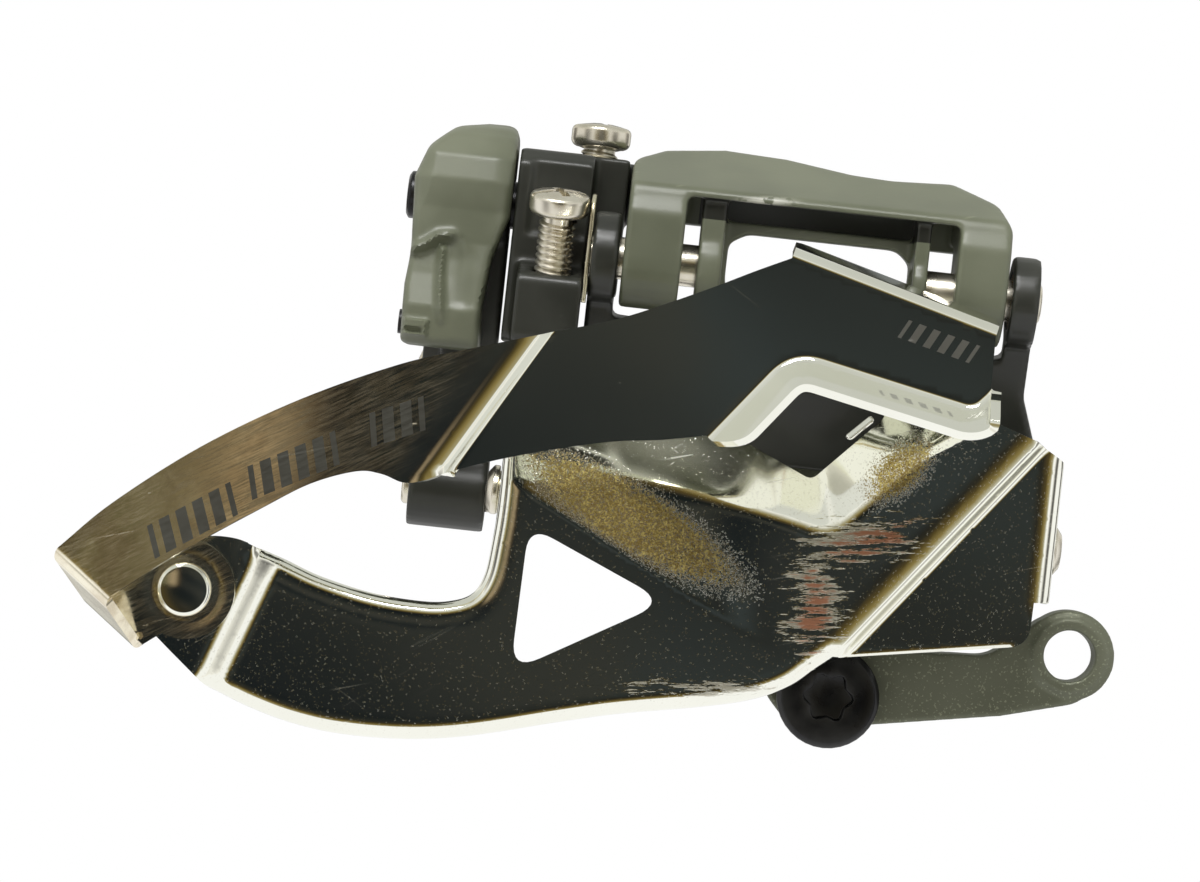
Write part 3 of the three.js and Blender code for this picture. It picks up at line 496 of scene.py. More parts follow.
def nearest(points, line):
    """For each point: its distance to the line, and that distance with a sign, positive on the left."""
    best = np.full(len(points), FAR)
    signed = np.zeros(len(points))
    for a, b in zip(line[:-1], line[1:]):
        run = b - a
        length = run @ run
        if length < 1e-12:
            continue
        t = np.clip(((points - a) @ run) / length, 0, 1)
        near = a + t[:, None] * run
        gap = np.linalg.norm(points - near, axis=1)
        side = run[0] * (points[:, 1] - a[1]) - run[1] * (points[:, 0] - a[0])
        closer = gap < best - 1e-9
        best = np.where(closer, gap, best)
        signed = np.where(closer, np.sign(side) * gap, signed)
    return best, signed


def flat_mesh(outline, holes, step, lines=()):
    """Triangles that fill an outline, on its own points, those of its holes and lines, and a grid between."""
    rings = [resample(outline, step)] + [resample(hole, step * 0.7) for hole in holes]
    fixed = np.vstack(rings)
    edges = []
    start = 0
    for ring in rings:
        count = len(ring)
        edges.extend((start + i, start + (i + 1) % count) for i in range(count))
        start += count
    low, high = outline.min(0), outline.max(0)
    rows = []
    height = step * math.sqrt(3) / 2
    for k, z in enumerate(np.arange(low[1], high[1], height)):
        x = np.arange(low[0] + (k % 2) * step / 2, high[0], step)
        rows.append(np.stack([x, np.full(len(x), z)], 1))
    grid = np.vstack(rows)
    grid = grid[far_from(grid, fixed, step * 0.5)]
    kept = [fixed]
    total = len(fixed)
    for line in lines:
        line = resample(line, step, closed=False)
        ok = far_from(line, np.vstack(kept), step * 0.12) & within(line, rings)
        places = np.cumsum(ok) - 1 + total
        edges.extend((int(places[i]), int(places[i + 1]))
                     for i in range(len(line) - 1) if ok[i] and ok[i + 1])
        kept.append(line[ok])
        total += int(ok.sum())
        grid = grid[far_from(grid, line, step * 0.5)]
    everything = np.vstack(kept + [grid[within(grid, rings)]])
    coords = [Vector((float(x), float(z))) for x, z in everything]
    verts, _, faces, *_ = delaunay_2d_cdt(coords, edges, [], 0, 1e-7)
    verts = np.array([tuple(v) for v in verts])
    faces = np.array([tuple(f) for f in faces])
    return verts, faces[within(verts[faces].mean(1), rings)]


def far_from(points, others, gap):
    """True for the points that lie further than gap from every other point."""
    cell = max(gap, 1e-6)
    taken = {}
    for p in others:
        taken.setdefault((int(p[0] // cell), int(p[1] // cell)), []).append(p)
    keep = np.ones(len(points), bool)
    for i, p in enumerate(points):
        cx, cz = int(p[0] // cell), int(p[1] // cell)
        for dx in (-1, 0, 1):
            for dz in (-1, 0, 1):
                for q in taken.get((cx + dx, cz + dz), ()):
                    if (p[0] - q[0]) ** 2 + (p[1] - q[1]) ** 2 < gap * gap:
                        keep[i] = False
    return keep


def in_scene(name, mesh):
    piece = bpy.data.objects.new(name, mesh)
    scene.collection.objects.link(piece)
    return piece


def shade_smooth(piece):
    piece.data.polygons.foreach_set("use_smooth", [True] * len(piece.data.polygons))


def make_object(name, verts, faces):
    mesh = bpy.data.meshes.new(name)
    verts = [tuple(float(c) * MM for c in v) for v in verts]
    mesh.from_pydata(verts, [], [tuple(map(int, f)) for f in faces])
    mesh.validate()
    mesh.update()
    piece = in_scene(name, mesh)
    shade_smooth(piece)
    return piece


def quads(rows, columns, closed=False):
    """The faces of a grid of points, listed row by row; a closed grid joins each row's end to its start."""
    faces = []
    for r in range(rows - 1):
        for c in range(columns if closed else columns - 1):
            after = (c + 1) % columns
            faces.append((r * columns + c, r * columns + after,
                          (r + 1) * columns + after, (r + 1) * columns + c))
    return faces


def tube(name, verts, sides):
    """A solid from closed rings of points, with a flat face at each end."""
    rings = len(verts) // sides
    ends = [tuple(range(sides))[::-1], tuple(range((rings - 1) * sides, rings * sides))]
    return make_object(name, verts, quads(rings, sides, closed=True) + ends)


@contextmanager
def opened(piece):
    """A piece's mesh, open for editing."""
    mesh = bmesh.new()
    mesh.from_mesh(piece.data)
    yield mesh
    mesh.to_mesh(piece.data)
    mesh.free()


def mark_sharp(mesh, angle):
    for edge in mesh.edges:
        if len(edge.link_faces) == 2 and edge.calc_face_angle(0) > math.radians(angle):
            edge.smooth = False


def bevel(piece, width, angle, harden=True):
    edge = piece.modifiers.new("edge", "BEVEL")
    edge.width = width * MM
    edge.segments = 2
    edge.limit_method = "ANGLE"
    edge.angle_limit = math.radians(angle)
    edge.harden_normals = harden


def thicken(piece, thickness):
    solid = piece.modifiers.new("thickness", "SOLIDIFY")
    solid.thickness = thickness * MM
    solid.offset = -1.0
    solid.use_quality_normals = True
    bevel(piece, SHEET_BEVEL, 50)


def face_toward(piece, direction):
    """Turns the faces of a sheet so that most of them point along a direction."""
    mesh = piece.data
    normals = np.array([p.normal for p in mesh.polygons])
    areas = np.array([p.area for p in mesh.polygons])
    if ((normals @ np.array(direction)) * areas).sum() < 0:
        mesh.flip_normals()


def step_at(distance, low, high, blend):
    """A smooth step from low to high, centred on distance 0, spread over blend."""
    t = np.clip(distance / blend + 0.5, 0, 1)
    return low + (high - low) * t * t * (3 - 2 * t)


def side_of(points, a, b):
    """Signed distance from the line a to b; left of it is positive."""
    a, b = np.array(a, float), np.array(b, float)
    run = (b - a) / np.linalg.norm(b - a)
    return run[0] * (points[:, 1] - a[1]) - run[1] * (points[:, 0] - a[0])


def settle(piece, body, slot_name, finish, *nodes):
    """Gives a piece its material and body, and names the CAD nodes it replaces, which it hides. slot_name is not
    used.
    """
    piece.data.materials.clear()
    piece.data.materials.append(material(finish))
    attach(piece, body)
    if nodes:
        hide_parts(*nodes)
    return piece


# ---- sheet-metal kit -----------------------------------------------------------------------------

BACK = np.array([0.0, 1.0, 0.0])
SHEET_BEVEL = 0.28
WELD = 0.03                                      # points of two parts nearer than this are one point


def spaced(points, step=0.6):
    return resample(np.array(points, float), step, closed=False)


def lift(points, y):
    """Flat (x, z) points placed at a depth y."""
    points = np.array(points, float)
    return np.stack([points[:, 0], np.broadcast_to(y, len(points)), points[:, 1]], 1)


def bend(edge, out, back, angle, radius, length, turns=9, steps=7):
    """Rows of a sheet that leaves an edge along out, turns toward back round a radius, then runs straight."""
    out, back = np.broadcast_to(out, edge.shape), np.broadcast_to(back, edge.shape)
    rows = [edge]
    for a in np.linspace(angle / turns, angle, turns):
        rows.append(edge + out * radius * math.sin(a) + back * radius * (1 - math.cos(a)))
    run = out * math.cos(angle) + back * math.sin(angle)
    length = np.broadcast_to(length, len(edge))[:, None]
    for s in np.linspace(1 / steps, 1, steps):
        rows.append(rows[turns] + run * length * s)
    return rows


def strip(rows):
    return np.vstack(rows), quads(len(rows), len(rows[0]))


def corner_cut(distance, radius):
    """How much shorter a strip is near its end so that its free corner is round."""
    d = np.clip(distance, 0, radius)
    return radius - np.sqrt(np.maximum(radius ** 2 - (radius - d) ** 2, 0))


def lengths_along(points):
    return np.concatenate([[0], np.cumsum(np.linalg.norm(np.diff(points, axis=0), axis=1))])


def resample_to(points, count):
    run = lengths_along(points)
    at = np.linspace(0, run[-1], count)
    return np.stack([np.interp(at, run, points[:, 0]), np.interp(at, run, points[:, 1])], 1)


def unit(rows):
    return rows / np.linalg.norm(rows, axis=1)[:, None]


def parallels(a, b, offsets):
    """Copies of the line a to b, each moved to its left."""
    a, b = np.array(a), np.array(b)
    across = np.array([-(b - a)[1], (b - a)[0]]) / np.linalg.norm(b - a)
    return [np.array([a, b]) + across * r for r in offsets]


def sheet(name, parts, side, thickness=SHEET):
    """Joins parts (verts, faces) at their common edges, turns them to one side and gives them thickness."""
    verts, faces = [], []
    for part_verts, part_faces in parts:
        faces += [tuple(int(i) + len(verts) for i in face) for face in part_faces]
        verts += [tuple(v) for v in part_verts]
    piece = make_object(name, verts, faces)
    with opened(piece) as mesh:
        bmesh.ops.remove_doubles(mesh, verts=mesh.verts, dist=WELD * MM)
        bmesh.ops.dissolve_degenerate(mesh, edges=mesh.edges, dist=WELD * MM)
        bmesh.ops.recalc_face_normals(mesh, faces=mesh.faces)
    face_toward(piece, side)
    shade_smooth(piece)
    thicken(piece, thickness)
    return piece


# ---- cage: outer plate ---------------------------------------------------------------------------

TAIL_END = np.array([(-92.2, 4.0), (-86.4, -0.3)])
TAB_END = np.array([(-88.8, -1.2), (-83.4, -5.2)])
NOSE_FOLD = np.array([(-22.1, 40.9), (-1.0, 35.3)])
JOGGLE = ((-45.0, 30.9), (-53.6, 15.9))
RIVET = np.array([-79.7, 0.9])
LIP_ANGLE, LIP_RADIUS, LIP_REACH = math.radians(50), 1.0, 3.45
NOSE_ANGLE, NOSE_RADIUS, NOSE_REACH = math.radians(83), 1.2, 8.77
TAB_SPAN, TAB_DROP = (-19.6, -7.2), 6.9
TAIL_TAB_RADIUS, COINED_RADIUS = 5.1, 3.45       # the tail's round tab, and the ring pressed into it


def outer_height(points):
    """Depth of the outer plate behind its near face: the joggle, the hollow beside it and the tail's curl."""
    beyond = -side_of(points, *JOGGLE)
    flank = step_at(beyond - 0.45, 0.0, 0.85, 0.85)
    hollow = np.clip((beyond - 0.7) / 2.4, 0, 1)
    tail = np.clip((beyond - 1.5) / 24, 0, 1)
    depth = flank + 0.30 * (1 - (1 - hollow) ** 2) + 0.75 * tail
    tip = np.clip((-66 - points[:, 0]) / 26, 0, 1)
    crown = 0.03 * np.sin(points[:, 0] * 0.16 + points[:, 1] * 0.1) * (beyond < 0)
    return depth + 0.8 * tip ** 1.7 + crown


def on_plate(points):
    """Flat (x, z) points placed on the outer plate."""
    return lift(points, OUTER_Y + outer_height(points))


def round_ended(length, run, radius):
    """The length of a strip at each point of its edge, with its two free corners rounded."""
    return length - corner_cut(run, radius) - corner_cut(run[-1] - run, radius)


def nose_flange(fold_line):
    """The flange folded back from the top of the nose, and its tab that turns down toward the inner plate."""
    along = (NOSE_FOLD[1] - NOSE_FOLD[0]) / np.linalg.norm(NOSE_FOLD[1] - NOSE_FOLD[0])
    rise = np.array([-along[1], 0.0, along[0]])
    edge = on_plate(fold_line)
    rows = bend(edge, rise, BACK, NOSE_ANGLE, NOSE_RADIUS, round_ended(NOSE_REACH, lengths_along(edge), 1.6))
    far = rows[-1]
    far = far[(far[:, 0] > TAB_SPAN[0]) & (far[:, 0] < TAB_SPAN[1])]
    onward = rise * math.cos(NOSE_ANGLE) + BACK * math.sin(NOSE_ANGLE)
    down = BACK * math.cos(NOSE_ANGLE) - rise * math.sin(NOSE_ANGLE)
    drop = round_ended(TAB_DROP, lengths_along(far), 2.6)
    tab = bend(far, onward, down, math.pi - NOSE_ANGLE, NOSE_RADIUS, drop, 8, 5)
    return [strip(rows), strip(tab)]


def run_out(distance, length, least):
    """The share of a strip's full reach near its end, where it falls to the least."""
    return np.clip(1 - (1 - distance / length).clip(0, 1) ** 2.2, least, 1)


def flared_lip(seam):
    """The lip that flares toward the viewer, and whose left end runs out at the plate's lower edge."""
    step = unit(np.gradient(seam, axis=0))
    outward = np.stack([-step[:, 1], np.zeros(len(step)), step[:, 0]], 1)
    edge = on_plate(seam)
    run = lengths_along(edge)
    reach = LIP_REACH * run_out(run[-1] - run, 3.6, 0.02) * run_out(run - 0.9, 1.6, 0.05)
    rows = bend(edge, outward, -BACK, LIP_ANGLE, LIP_RADIUS, reach)
    for row in rows:
        row[:, 0] = np.minimum(row[:, 0], NOSE_FOLD[1][0] + 0.15)
    return [strip(rows)]


def tail_return(tail_seam):
    """The tail's end, which turns back and in, and the round tab that the rivet holds."""
    start = on_plate(tail_seam)
    end = resample_to(spaced([TAB_END[1], TAB_END[0]], 0.5), len(start))
    tab_back = TAB_Y + SHEET
    axis = TAIL_END[1] - TAIL_END[0]
    outward = np.array([axis[1], 0.0, -axis[0]]) / np.linalg.norm(axis)
    total = tab_back - start[0][1]
    quarter = np.linspace(0, math.pi / 2, 8)
    profile = [(math.sin(a), 1 - math.cos(a)) for a in quarter]
    profile += [(1.0, 1 + (total - 2) * s) for s in np.linspace(0, 1, 8)[1:-1]]
    profile += [(math.cos(a), total - 1 + math.sin(a)) for a in quarter]
    rows = [start * (1 - depth / total) + lift(end, tab_back) * (depth / total) + outward * bulge
            for bulge, depth in profile]
    turns = np.linspace(math.radians(-112), math.radians(122), 26)
    round_end = [RIVET + TAIL_TAB_RADIUS * np.array([math.cos(a), math.sin(a)]) for a in turns]
    verts, faces = flat_mesh(np.vstack([end[::-1], round_end]), (), 0.5)
    ring = np.hypot(verts[:, 0] - RIVET[0], verts[:, 1] - RIVET[1]) - COINED_RADIUS
    return [strip(rows), (lift(verts, tab_back + 0.08 * np.exp(-((ring / 0.4) ** 2))), faces)]


def outer_plate():
    top = smooth_line([
        TAIL_END[0], (-87.2, 9.1), (-78.9, 15.7), (-69.5, 21.5), (-59.9, 26.1), (-52.8, 28.5),
        (-45.2, 30.9), (-38.6, 33.0), (-30.9, 36.5), (-25.6, 39.2), NOSE_FOLD[0]])
    fold_line = spaced(NOSE_FOLD)
    seam = spaced(rounded([(-0.9, 30.2), (-2.6, 28.3, 1.5), (-21.2, 32.0, 5.4), (-28.7, 22.3)], 12), 0.5)
    bottom = smooth_line([
        seam[-1], (-33, 21.4), (-38.3, 20.6), (-44.6, 19.0), (-49.5, 17.5), (-53.8, 15.9), (-56.4, 14.7),
        (-58.4, 14.3), (-60.6, 14.9), (-63.2, 14.9), (-67.6, 13.2), (-72.1, 10.3), (-80.0, 4.8), TAIL_END[1]])
    tail_seam = spaced([TAIL_END[1], TAIL_END[0]], 0.5)
    outline = np.vstack([top[:-1], fold_line[:-1], [NOSE_FOLD[1]], seam[:-1], bottom[:-1], tail_seam[:-1]])
    lines = parallels(*JOGGLE, (0.5, 0.1, -0.1, -0.35, -0.65, -0.95, -1.25, -1.6, -2.0, -2.5, -3.2, -3.9))
    verts, faces = flat_mesh(outline, (), 0.6, lines)
    parts = [(on_plate(verts), faces), *nose_flange(fold_line), *flared_lip(seam), *tail_return(tail_seam)]
    piece = sheet("outer_cage_plate_skin", parts, NEAR)
    settle(piece, "cage", "chrome", "outer_plate", "outer_cage_plate")


# ---- cage: inner plate ---------------------------------------------------------------------------

RIDGE = ((-13.0, 1.1), (5.4, 25.0))
CREASE = ((-46.6, 14.8), (-22.8, 3.0))
CREASE_END = (-14.0, 0.0)
POCKET = ((-46.0, 20.4), (-14.3, 13.7), (-2.0, 27.0))
TAIL_STEP = ((-71.6, 5.4), (-76.6, -9.0))
FACET_DROP = 1.8                                 # how far the facet beyond the ridge lies behind the panel
ROLL_LINES = (0.1, 0.3, 0.6, 0.95, 1.35, 1.8, 2.4)  # rows of points near an edge that is rolled back


def inner_height(points):
    """Depth of the inner plate's near face behind its flat lower panel."""
    # the land under the tail tab stands proud
    land = (LAND_Y - INNER_Y) * step_at(-side_of(points, *TAIL_STEP), 0, 1, 3.7) * (points[:, 0] < -66)
    # above the crease the panel leans back, most where it starts
    above = np.maximum(side_of(points, *CREASE), 0)
    lean = np.where(above < 5.5, 0.165 * above, 0.165 * 5.5 + 0.09 * (above - 5.5))
    lean = lean * np.clip((points[:, 0] + 49.5) / 3.5, 0, 1)
    lean = lean * (1 - step_at(points[:, 0] + 26.5, 0, 1, 19.0))
    # the pocket round the diamond hole: two walls that meet in a V below it
    left = side_of(points, POCKET[0], POCKET[1])
    right = side_of(points, POCKET[1], POCKET[2])
    across = left * (0.50 + 0.50 * np.clip((points[:, 0] + 44) / 22, 0, 1) ** 2)
    into = (across + right - np.sqrt((across - right) ** 2 + 0.5)) / 2 + 1.1
    pocket = np.where(into < 1.5, 0.113 * np.maximum(into, 0) ** 2, 0.254 + 0.339 * (into - 1.5))
    pocket = 2.9 - np.log1p(np.exp(np.clip((2.9 - pocket) * 3, -40, 40))) / 3
    pocket = np.maximum(pocket, 0)
    main = lean + pocket
    # the sheet bows toward the diagonal ridge and drops away beyond it
    ridge = side_of(points, *RIDGE)
    main = main + 0.030 * np.maximum(3.0 - np.maximum(ridge, 0), 0) ** 2
    facet = FACET_DROP + 0.010 * np.maximum(-ridge, 0)
    blend = step_at(-ridge - 0.55, 0, 1, 1.1)
    return land + main * (1 - blend) + np.maximum(facet, 0.6 * main) * blend


def inner_plate():
    bottom = smooth_line([
        (-76.4, -9.0), (-72.4, -10.5), (-67.8, -11.7), (-62.6, -12.3), (-55.7, -12.1), (-49.0, -11.0),
        (-40.1, -8.6), (-34.1, -7.1), (-26.0, -5.5), (-20.9, -4.2), (-17.0, -2.4), (-14.6, -0.4),
        (-12.9, 1.0)])
    right = rounded([
        (-12.9, 1.0), (7.0, 4.4, 2.5), (7.1, 8.9), (8.75, 9.1), (8.75, 23.6), (5.4, 25.5), (0.2, 27.2),
        (-6.0, 29.2), (-8.0, 38.0, 2), (-19.0, 38.0, 2), (-21.5, 30.0), (-48.8, 25.0)])
    inner_top = smooth_line([
        (-48.9, 25.0), (-48.9, 18.0), (-48.9, 12.5), (-49.1, 9.0), (-49.5, 5.6), (-50.6, 3.5),
        (-52.9, 2.5), (-55.9, 2.2), (-60.9, 2.5), (-66.2, 3.6), (-69.7, 4.8), (-72.4, 5.7), (-75.5, 6.6),
        (-79.2, 6.2), (-82.4, 3.8), (-84.4, 0.6), (-84.2, -2.6)])
    facet_low = np.array([(-12.5, 0.85), (5.2, 3.95)])
    outline = np.vstack([[(-84.2, -2.6), (-80.6, -5.6)], bottom, right[1:], inner_top[1:-1]])
    triangle = rounded([(-45.5, 11.2, 1.9), (-30.6, 4.9, 1.7), (-45.8, -4.0, 1.9)], 8)
    diamond = rounded([(-25.3, 22.6, 0.9), (-17.1, 19.0, 1.2), (-9.9, 26.6, 0.9), (-18.4, 31.2, 1.4)], 8)
    lines = []
    for line, offsets in ((RIDGE, (3.0, 2.2, 1.4, 0.7, 0.2, -0.1, -0.35, -0.6, -0.85, -1.1, -1.5)),
                          ((CREASE[0], CREASE_END), (-0.6, -0.15, 0.1, 0.5, 1.0)),
                          (TAIL_STEP, (2.3, 1.85, 1.4, 0.95, 0.5, 0, -0.5, -0.95, -1.4, -1.85, -2.3))):
        lines += parallels(*line, offsets)
    main_top = inner_top[:-40]
    for r in ROLL_LINES:
        lines += [offset_line(bottom, r), offset_line(main_top, r)]
    lines += [offset_line(facet_low, r) for r in (0.12, 0.3, 0.5)]
    right_edge = np.array([(FLANGE_RIGHT, 8.8), (FLANGE_RIGHT, 23.8)])
    lines += [right_edge - np.array([r, 0]) for r in ROLL_LINES]
    verts, faces = flat_mesh(outline, (triangle, diamond), 0.55, lines)
    place = lift(verts, INNER_Y + inner_height(verts))
    for line, radius, ease in ((bottom, 1.5, 0.5), (main_top, 1.3, 1.8), (facet_low, 0.5, 0.1),
                               (right_edge, 1.4, 1.4)):
        roll(verts, place, line, radius, ease)
    piece = sheet("inner_cage_plate_skin", [(place, faces)], NEAR, SHEET * 0.9)
    settle(piece, "cage", "chrome", "inner_plate", "inner_cage_plate")
    side_flange("left_flange_skin", FLANGE_LEFT, 1, [
        (-15.7, 3.0), (-12, 5.2), (-5, 9.0), (3, 8.7), (8, 13.7), (3, 18.7), (-5, 19.4), (-15.7, 25.0)])
    side_flange("right_flange_skin", FLANGE_RIGHT, -1, [
        (-14.4, 8.9), (-8, 8.9), (-4, 9.5), (1, 14.3), (-4, 19.1), (-9, 20.6), (-14.4, 23.6)])
    hole_stub()


def hole_stub():
    """The small bright bar that shows inside the diamond hole, along its lower right edge."""
    line = spaced([(-13.7, 23.5), (-11.3, 25.9)], 0.4)
    rows = [lift(line + np.array([-0.55, 0.5]) * s, INNER_Y + 1.6 + 0.5 * s) for s in np.linspace(0, 1, 4)]
    piece = sheet("hole_stub", [strip(rows)], NEAR, 0.5)
    settle(piece, "cage", "chrome", "chrome")


def offset_line(line, distance):
    """The same line moved to its left."""
    run = unit(np.gradient(line, axis=0))
    return line + np.stack([-run[:, 1], run[:, 0]], 1) * distance


def roll(flat, place, line, radius, ease):
    """Rounds a sheet's edge backward over a quarter circle, with a shallow run-in of width ease before it."""
    best, _ = nearest(flat, line)
    inner = np.maximum(radius + ease - np.maximum(best, radius), 0)
    place[:, 1] += np.where(inner > 0, 0.055 * inner ** 2 / max(ease, 0.1), 0)
    close = best < radius
    rise = radius - np.sqrt(np.maximum(radius ** 2 - (radius - best) ** 2, 0))
    place[close, 1] += rise[close]


def side_flange(name, x, side, corners):
    """A flange that runs back from the plate's side and carries the pivot pins; its corners are (y, z)."""
    outline = rounded([(y, z, 0 if i in (0, len(corners) - 1) else 4) for i, (y, z) in enumerate(corners)], 8)
    verts, faces = flat_mesh(outline, (), 0.7)
    place = np.stack([np.full(len(verts), x), verts[:, 0], verts[:, 1]], 1)
    piece = sheet(name, [(place, faces)], (-side, 0, 0))
    settle(piece, "cage", "chrome", "inner_plate")


# ---- castings: solids with a sculpted near side ----------------------------------------------------

def carved(name, outline, front, back, step, edge):
    """A closed solid over an outline: its near face at depth front(points), its far face at back(points)."""
    verts, faces = flat_mesh(outline, (), step)
    ring = resample(outline, step)
    gap, _ = nearest(verts, np.vstack([ring, ring[:1]]))
    inset = edge - np.sqrt(np.maximum(edge ** 2 - np.maximum(edge - gap, 0) ** 2, 0))
    near = lift(verts, 0)
    near[:, 1] = front(verts) + inset
    far = lift(verts, 0)
    far[:, 1] = np.maximum(back(verts) - inset, near[:, 1] + 0.2)
    count = len(verts)
    flipped = [(a + count, c + count, b + count) for a, b, c in faces]
    n = len(ring)
    walls = [(i, (i + 1) % n, (i + 1) % n + count, i + count) for i in range(n)]
    piece = make_object(name, np.vstack([near, far]), list(map(tuple, faces)) + flipped + walls)
    with opened(piece) as mesh:
        bmesh.ops.recalc_face_normals(mesh, faces=mesh.faces)
        mark_sharp(mesh, 38)
    shade_smooth(piece)
    return piece


def along_line(points, line, width):
    """1 on a line, falling as a bell of the given half-width."""
    best, _ = nearest(points, np.array(line, float))
    return np.exp(-((best / width) ** 2))


def lever_block():
    outline = rounded([
        (-61.0, 28.5, 0.8), (-61.2, 34.7), (-60.9, 38.4), (-61.4, 46.0, 1.5), (-60.2, 49.4, 2.5),
        (-57.6, 51.8, 2.5), (-54.4, 52.5), (-51.1, 52.6, 1.6), (-51.1, 42.8, 1.5), (-52.5, 38.2, 1.5),
        (-53.0, 33.0), (-52.8, 28.4, 0.6)], 8)
    nub = [(-60.9, 38.3), (-59.6, 38.9), (-58.2, 40.0), (-56.9, 40.2)]
    brow = [(-62, 37.9), *nub[1:], (-50, 41.2)]
    fin = [(-57.6, 38.6), (-57.6, 36.6), (-57.3, 33.6), (-57.0, 31.2)]
    facet = [(-59.3, 50.6), (-59.4, 47.0), (-60.0, 43.8), (-61.4, 41.0)]

    def front(points):
        z = points[:, 1]
        depth = np.interp(z, [28.4, 29.5, 32.5, 36.5, 39.5, 43.0, 46.0, 48.6, 50.8, 52.0, 52.8],
                          [-12.3, -12.9, -13.7, -12.9, -12.2, -11.9, -12.3, -11.6, -9.6, -7.6, -5.0])
        _, signed = nearest(points, np.array(facet))
        beyond = np.clip(-signed, 0, 3) * (z > 41)
        depth = depth + 0.55 * beyond
        right = np.clip(points[:, 0] + 53.4, 0, 3) * np.clip((z - 41) / 2, 0, 1)
        depth = depth + 0.12 * right ** 2
        # under the ridge the face falls back, and a thin fin stands up from the hollow
        _, below = nearest(points, np.array(brow))
        reach = np.clip((-55.4 - points[:, 0]) / 1.8, 0, 1)
        hollow = np.clip(-below / 1.0, 0, 1) * reach * np.clip((z - 29) / 7, 0, 1)
        depth = depth + 0.9 * hollow - 0.55 * along_line(points, nub, 0.5)
        depth = depth - 1.0 * along_line(points, fin, 0.42) * np.clip((z - 29.5) / 4, 0.1, 1)
        depth = depth + 0.5 * along_line(points, [(-55.6, 37.6), (-55.2, 33.5)], 1.2)
        bump = np.clip(1 - np.maximum(np.abs(points[:, 0] + 59.6) - 1.1, np.abs(z - 30.2) - 0.7) / 0.35, 0, 1)
        depth = depth - 0.75 * bump
        slot = np.maximum(np.abs(points[:, 0] + 59.7) - 0.8, np.abs(z - 29.9) - 0.15)
        return depth + 0.6 * np.clip(1 - slot / 0.12, 0, 1)

    def back(points):
        return np.interp(points[:, 1], [28.4, 42.0, 44.0, 47.5, 50.0, 52.6],
                         [-4.0, -7.3, -3.0, 2.5, 2.2, -1.5])

    piece = carved("lever_block_skin", outline, front, back, 0.32, 0.8)
    settle(piece, "inner_link", "cast_grey", "cast", "lever_block")


def wire(name, path, radius, sides=10):
    """A round wire along a path of 3-D points."""
    path = np.array(path, float)
    run = unit(np.gradient(path, axis=0))
    side = np.cross(run, (1.0, 0.0, 0.0))
    side = side / np.maximum(np.linalg.norm(side, axis=1)[:, None], 1e-9)
    up = np.cross(run, side)
    verts = [p + radius * (math.cos(t) * s + math.sin(t) * u) for p, s, u in zip(path, side, up)
             for t in np.linspace(0, 2 * math.pi, sides, endpoint=False)]
    return tube(name, verts, sides)


def spring_leg():
    """The bright leg of the return spring, between the stop block's lug and the left ear."""
    x, near, foot, top, hook = -42.5, -15.75, 34.6, 43.6, 2.2
    z = np.linspace(foot, top, 24)
    y = near + 0.25 * np.sin((z - foot) / 9 * math.pi)
    path = [(x, b, c) for b, c in zip(y, z)]
    arc = [(x, near + hook * (1 - math.cos(t)), top + hook * math.sin(t)) for t in np.linspace(0.15, 1.3, 9)]
    piece = wire("spring_leg", path + arc, 0.26)
    settle(piece, "bracket", "spring_steel", "spring")


def turn_to(direction):
    """The rotation that takes Z to a direction."""
    return Vector(direction).normalized().to_track_quat("Z", "Y").to_matrix()


def turned(name, profile, axis_at, direction, sides):
    """A lathed piece: profile is (radius, height) pairs from bottom to top along a direction."""
    turn = turn_to(direction)
    verts = []
    for radius, height in profile:
        for k in range(sides):
            t = 2 * math.pi * k / sides
            at = turn @ Vector((radius * math.cos(t), radius * math.sin(t), height))
            verts.append(tuple(Vector(axis_at) + at))
    return tube(name, verts, sides)


def arc_profile(centre, radius, start, end):
    return [(centre[0] + radius * math.cos(a), centre[1] + radius * math.sin(a))
            for a in np.linspace(math.radians(start), math.radians(end), 6)]


THREAD_MAJOR, THREAD_MINOR, THREAD_PITCH, THREAD_LENGTH = 1.98, 1.62, 0.7, 11.3
HEAD_TOP = 2.75
CROSS_TURN = 0.35
# the slot across the head, then the cross in it: width, depth, half-length and turn of each cut
CROSS_CUTS = ((0.62, 0.75, 3.6, CROSS_TURN), (0.85, 1.25, 1.9, CROSS_TURN + math.pi / 2),
              (0.85, 1.35, 1.9, CROSS_TURN))


def cutter_bar(width, depth, reach, angle, turn, seat):
    bar = bmesh.new()
    bmesh.ops.create_cube(bar, size=1.0)
    bmesh.ops.scale(bar, vec=(2 * reach * MM, width * MM, 2 * depth * MM), verts=bar.verts)
    bmesh.ops.rotate(bar, cent=(0, 0, 0), matrix=Matrix.Rotation(angle, 3, "Z"), verts=bar.verts)
    bmesh.ops.translate(bar, vec=(0, 0, HEAD_TOP * MM), verts=bar.verts)
    bmesh.ops.rotate(bar, cent=(0, 0, 0), matrix=turn, verts=bar.verts)
    bmesh.ops.translate(bar, vec=Vector(seat) * MM, verts=bar.verts)
    data = bpy.data.meshes.new("cutter")
    bar.to_mesh(data)
    bar.free()
    return in_scene("cutter", data)


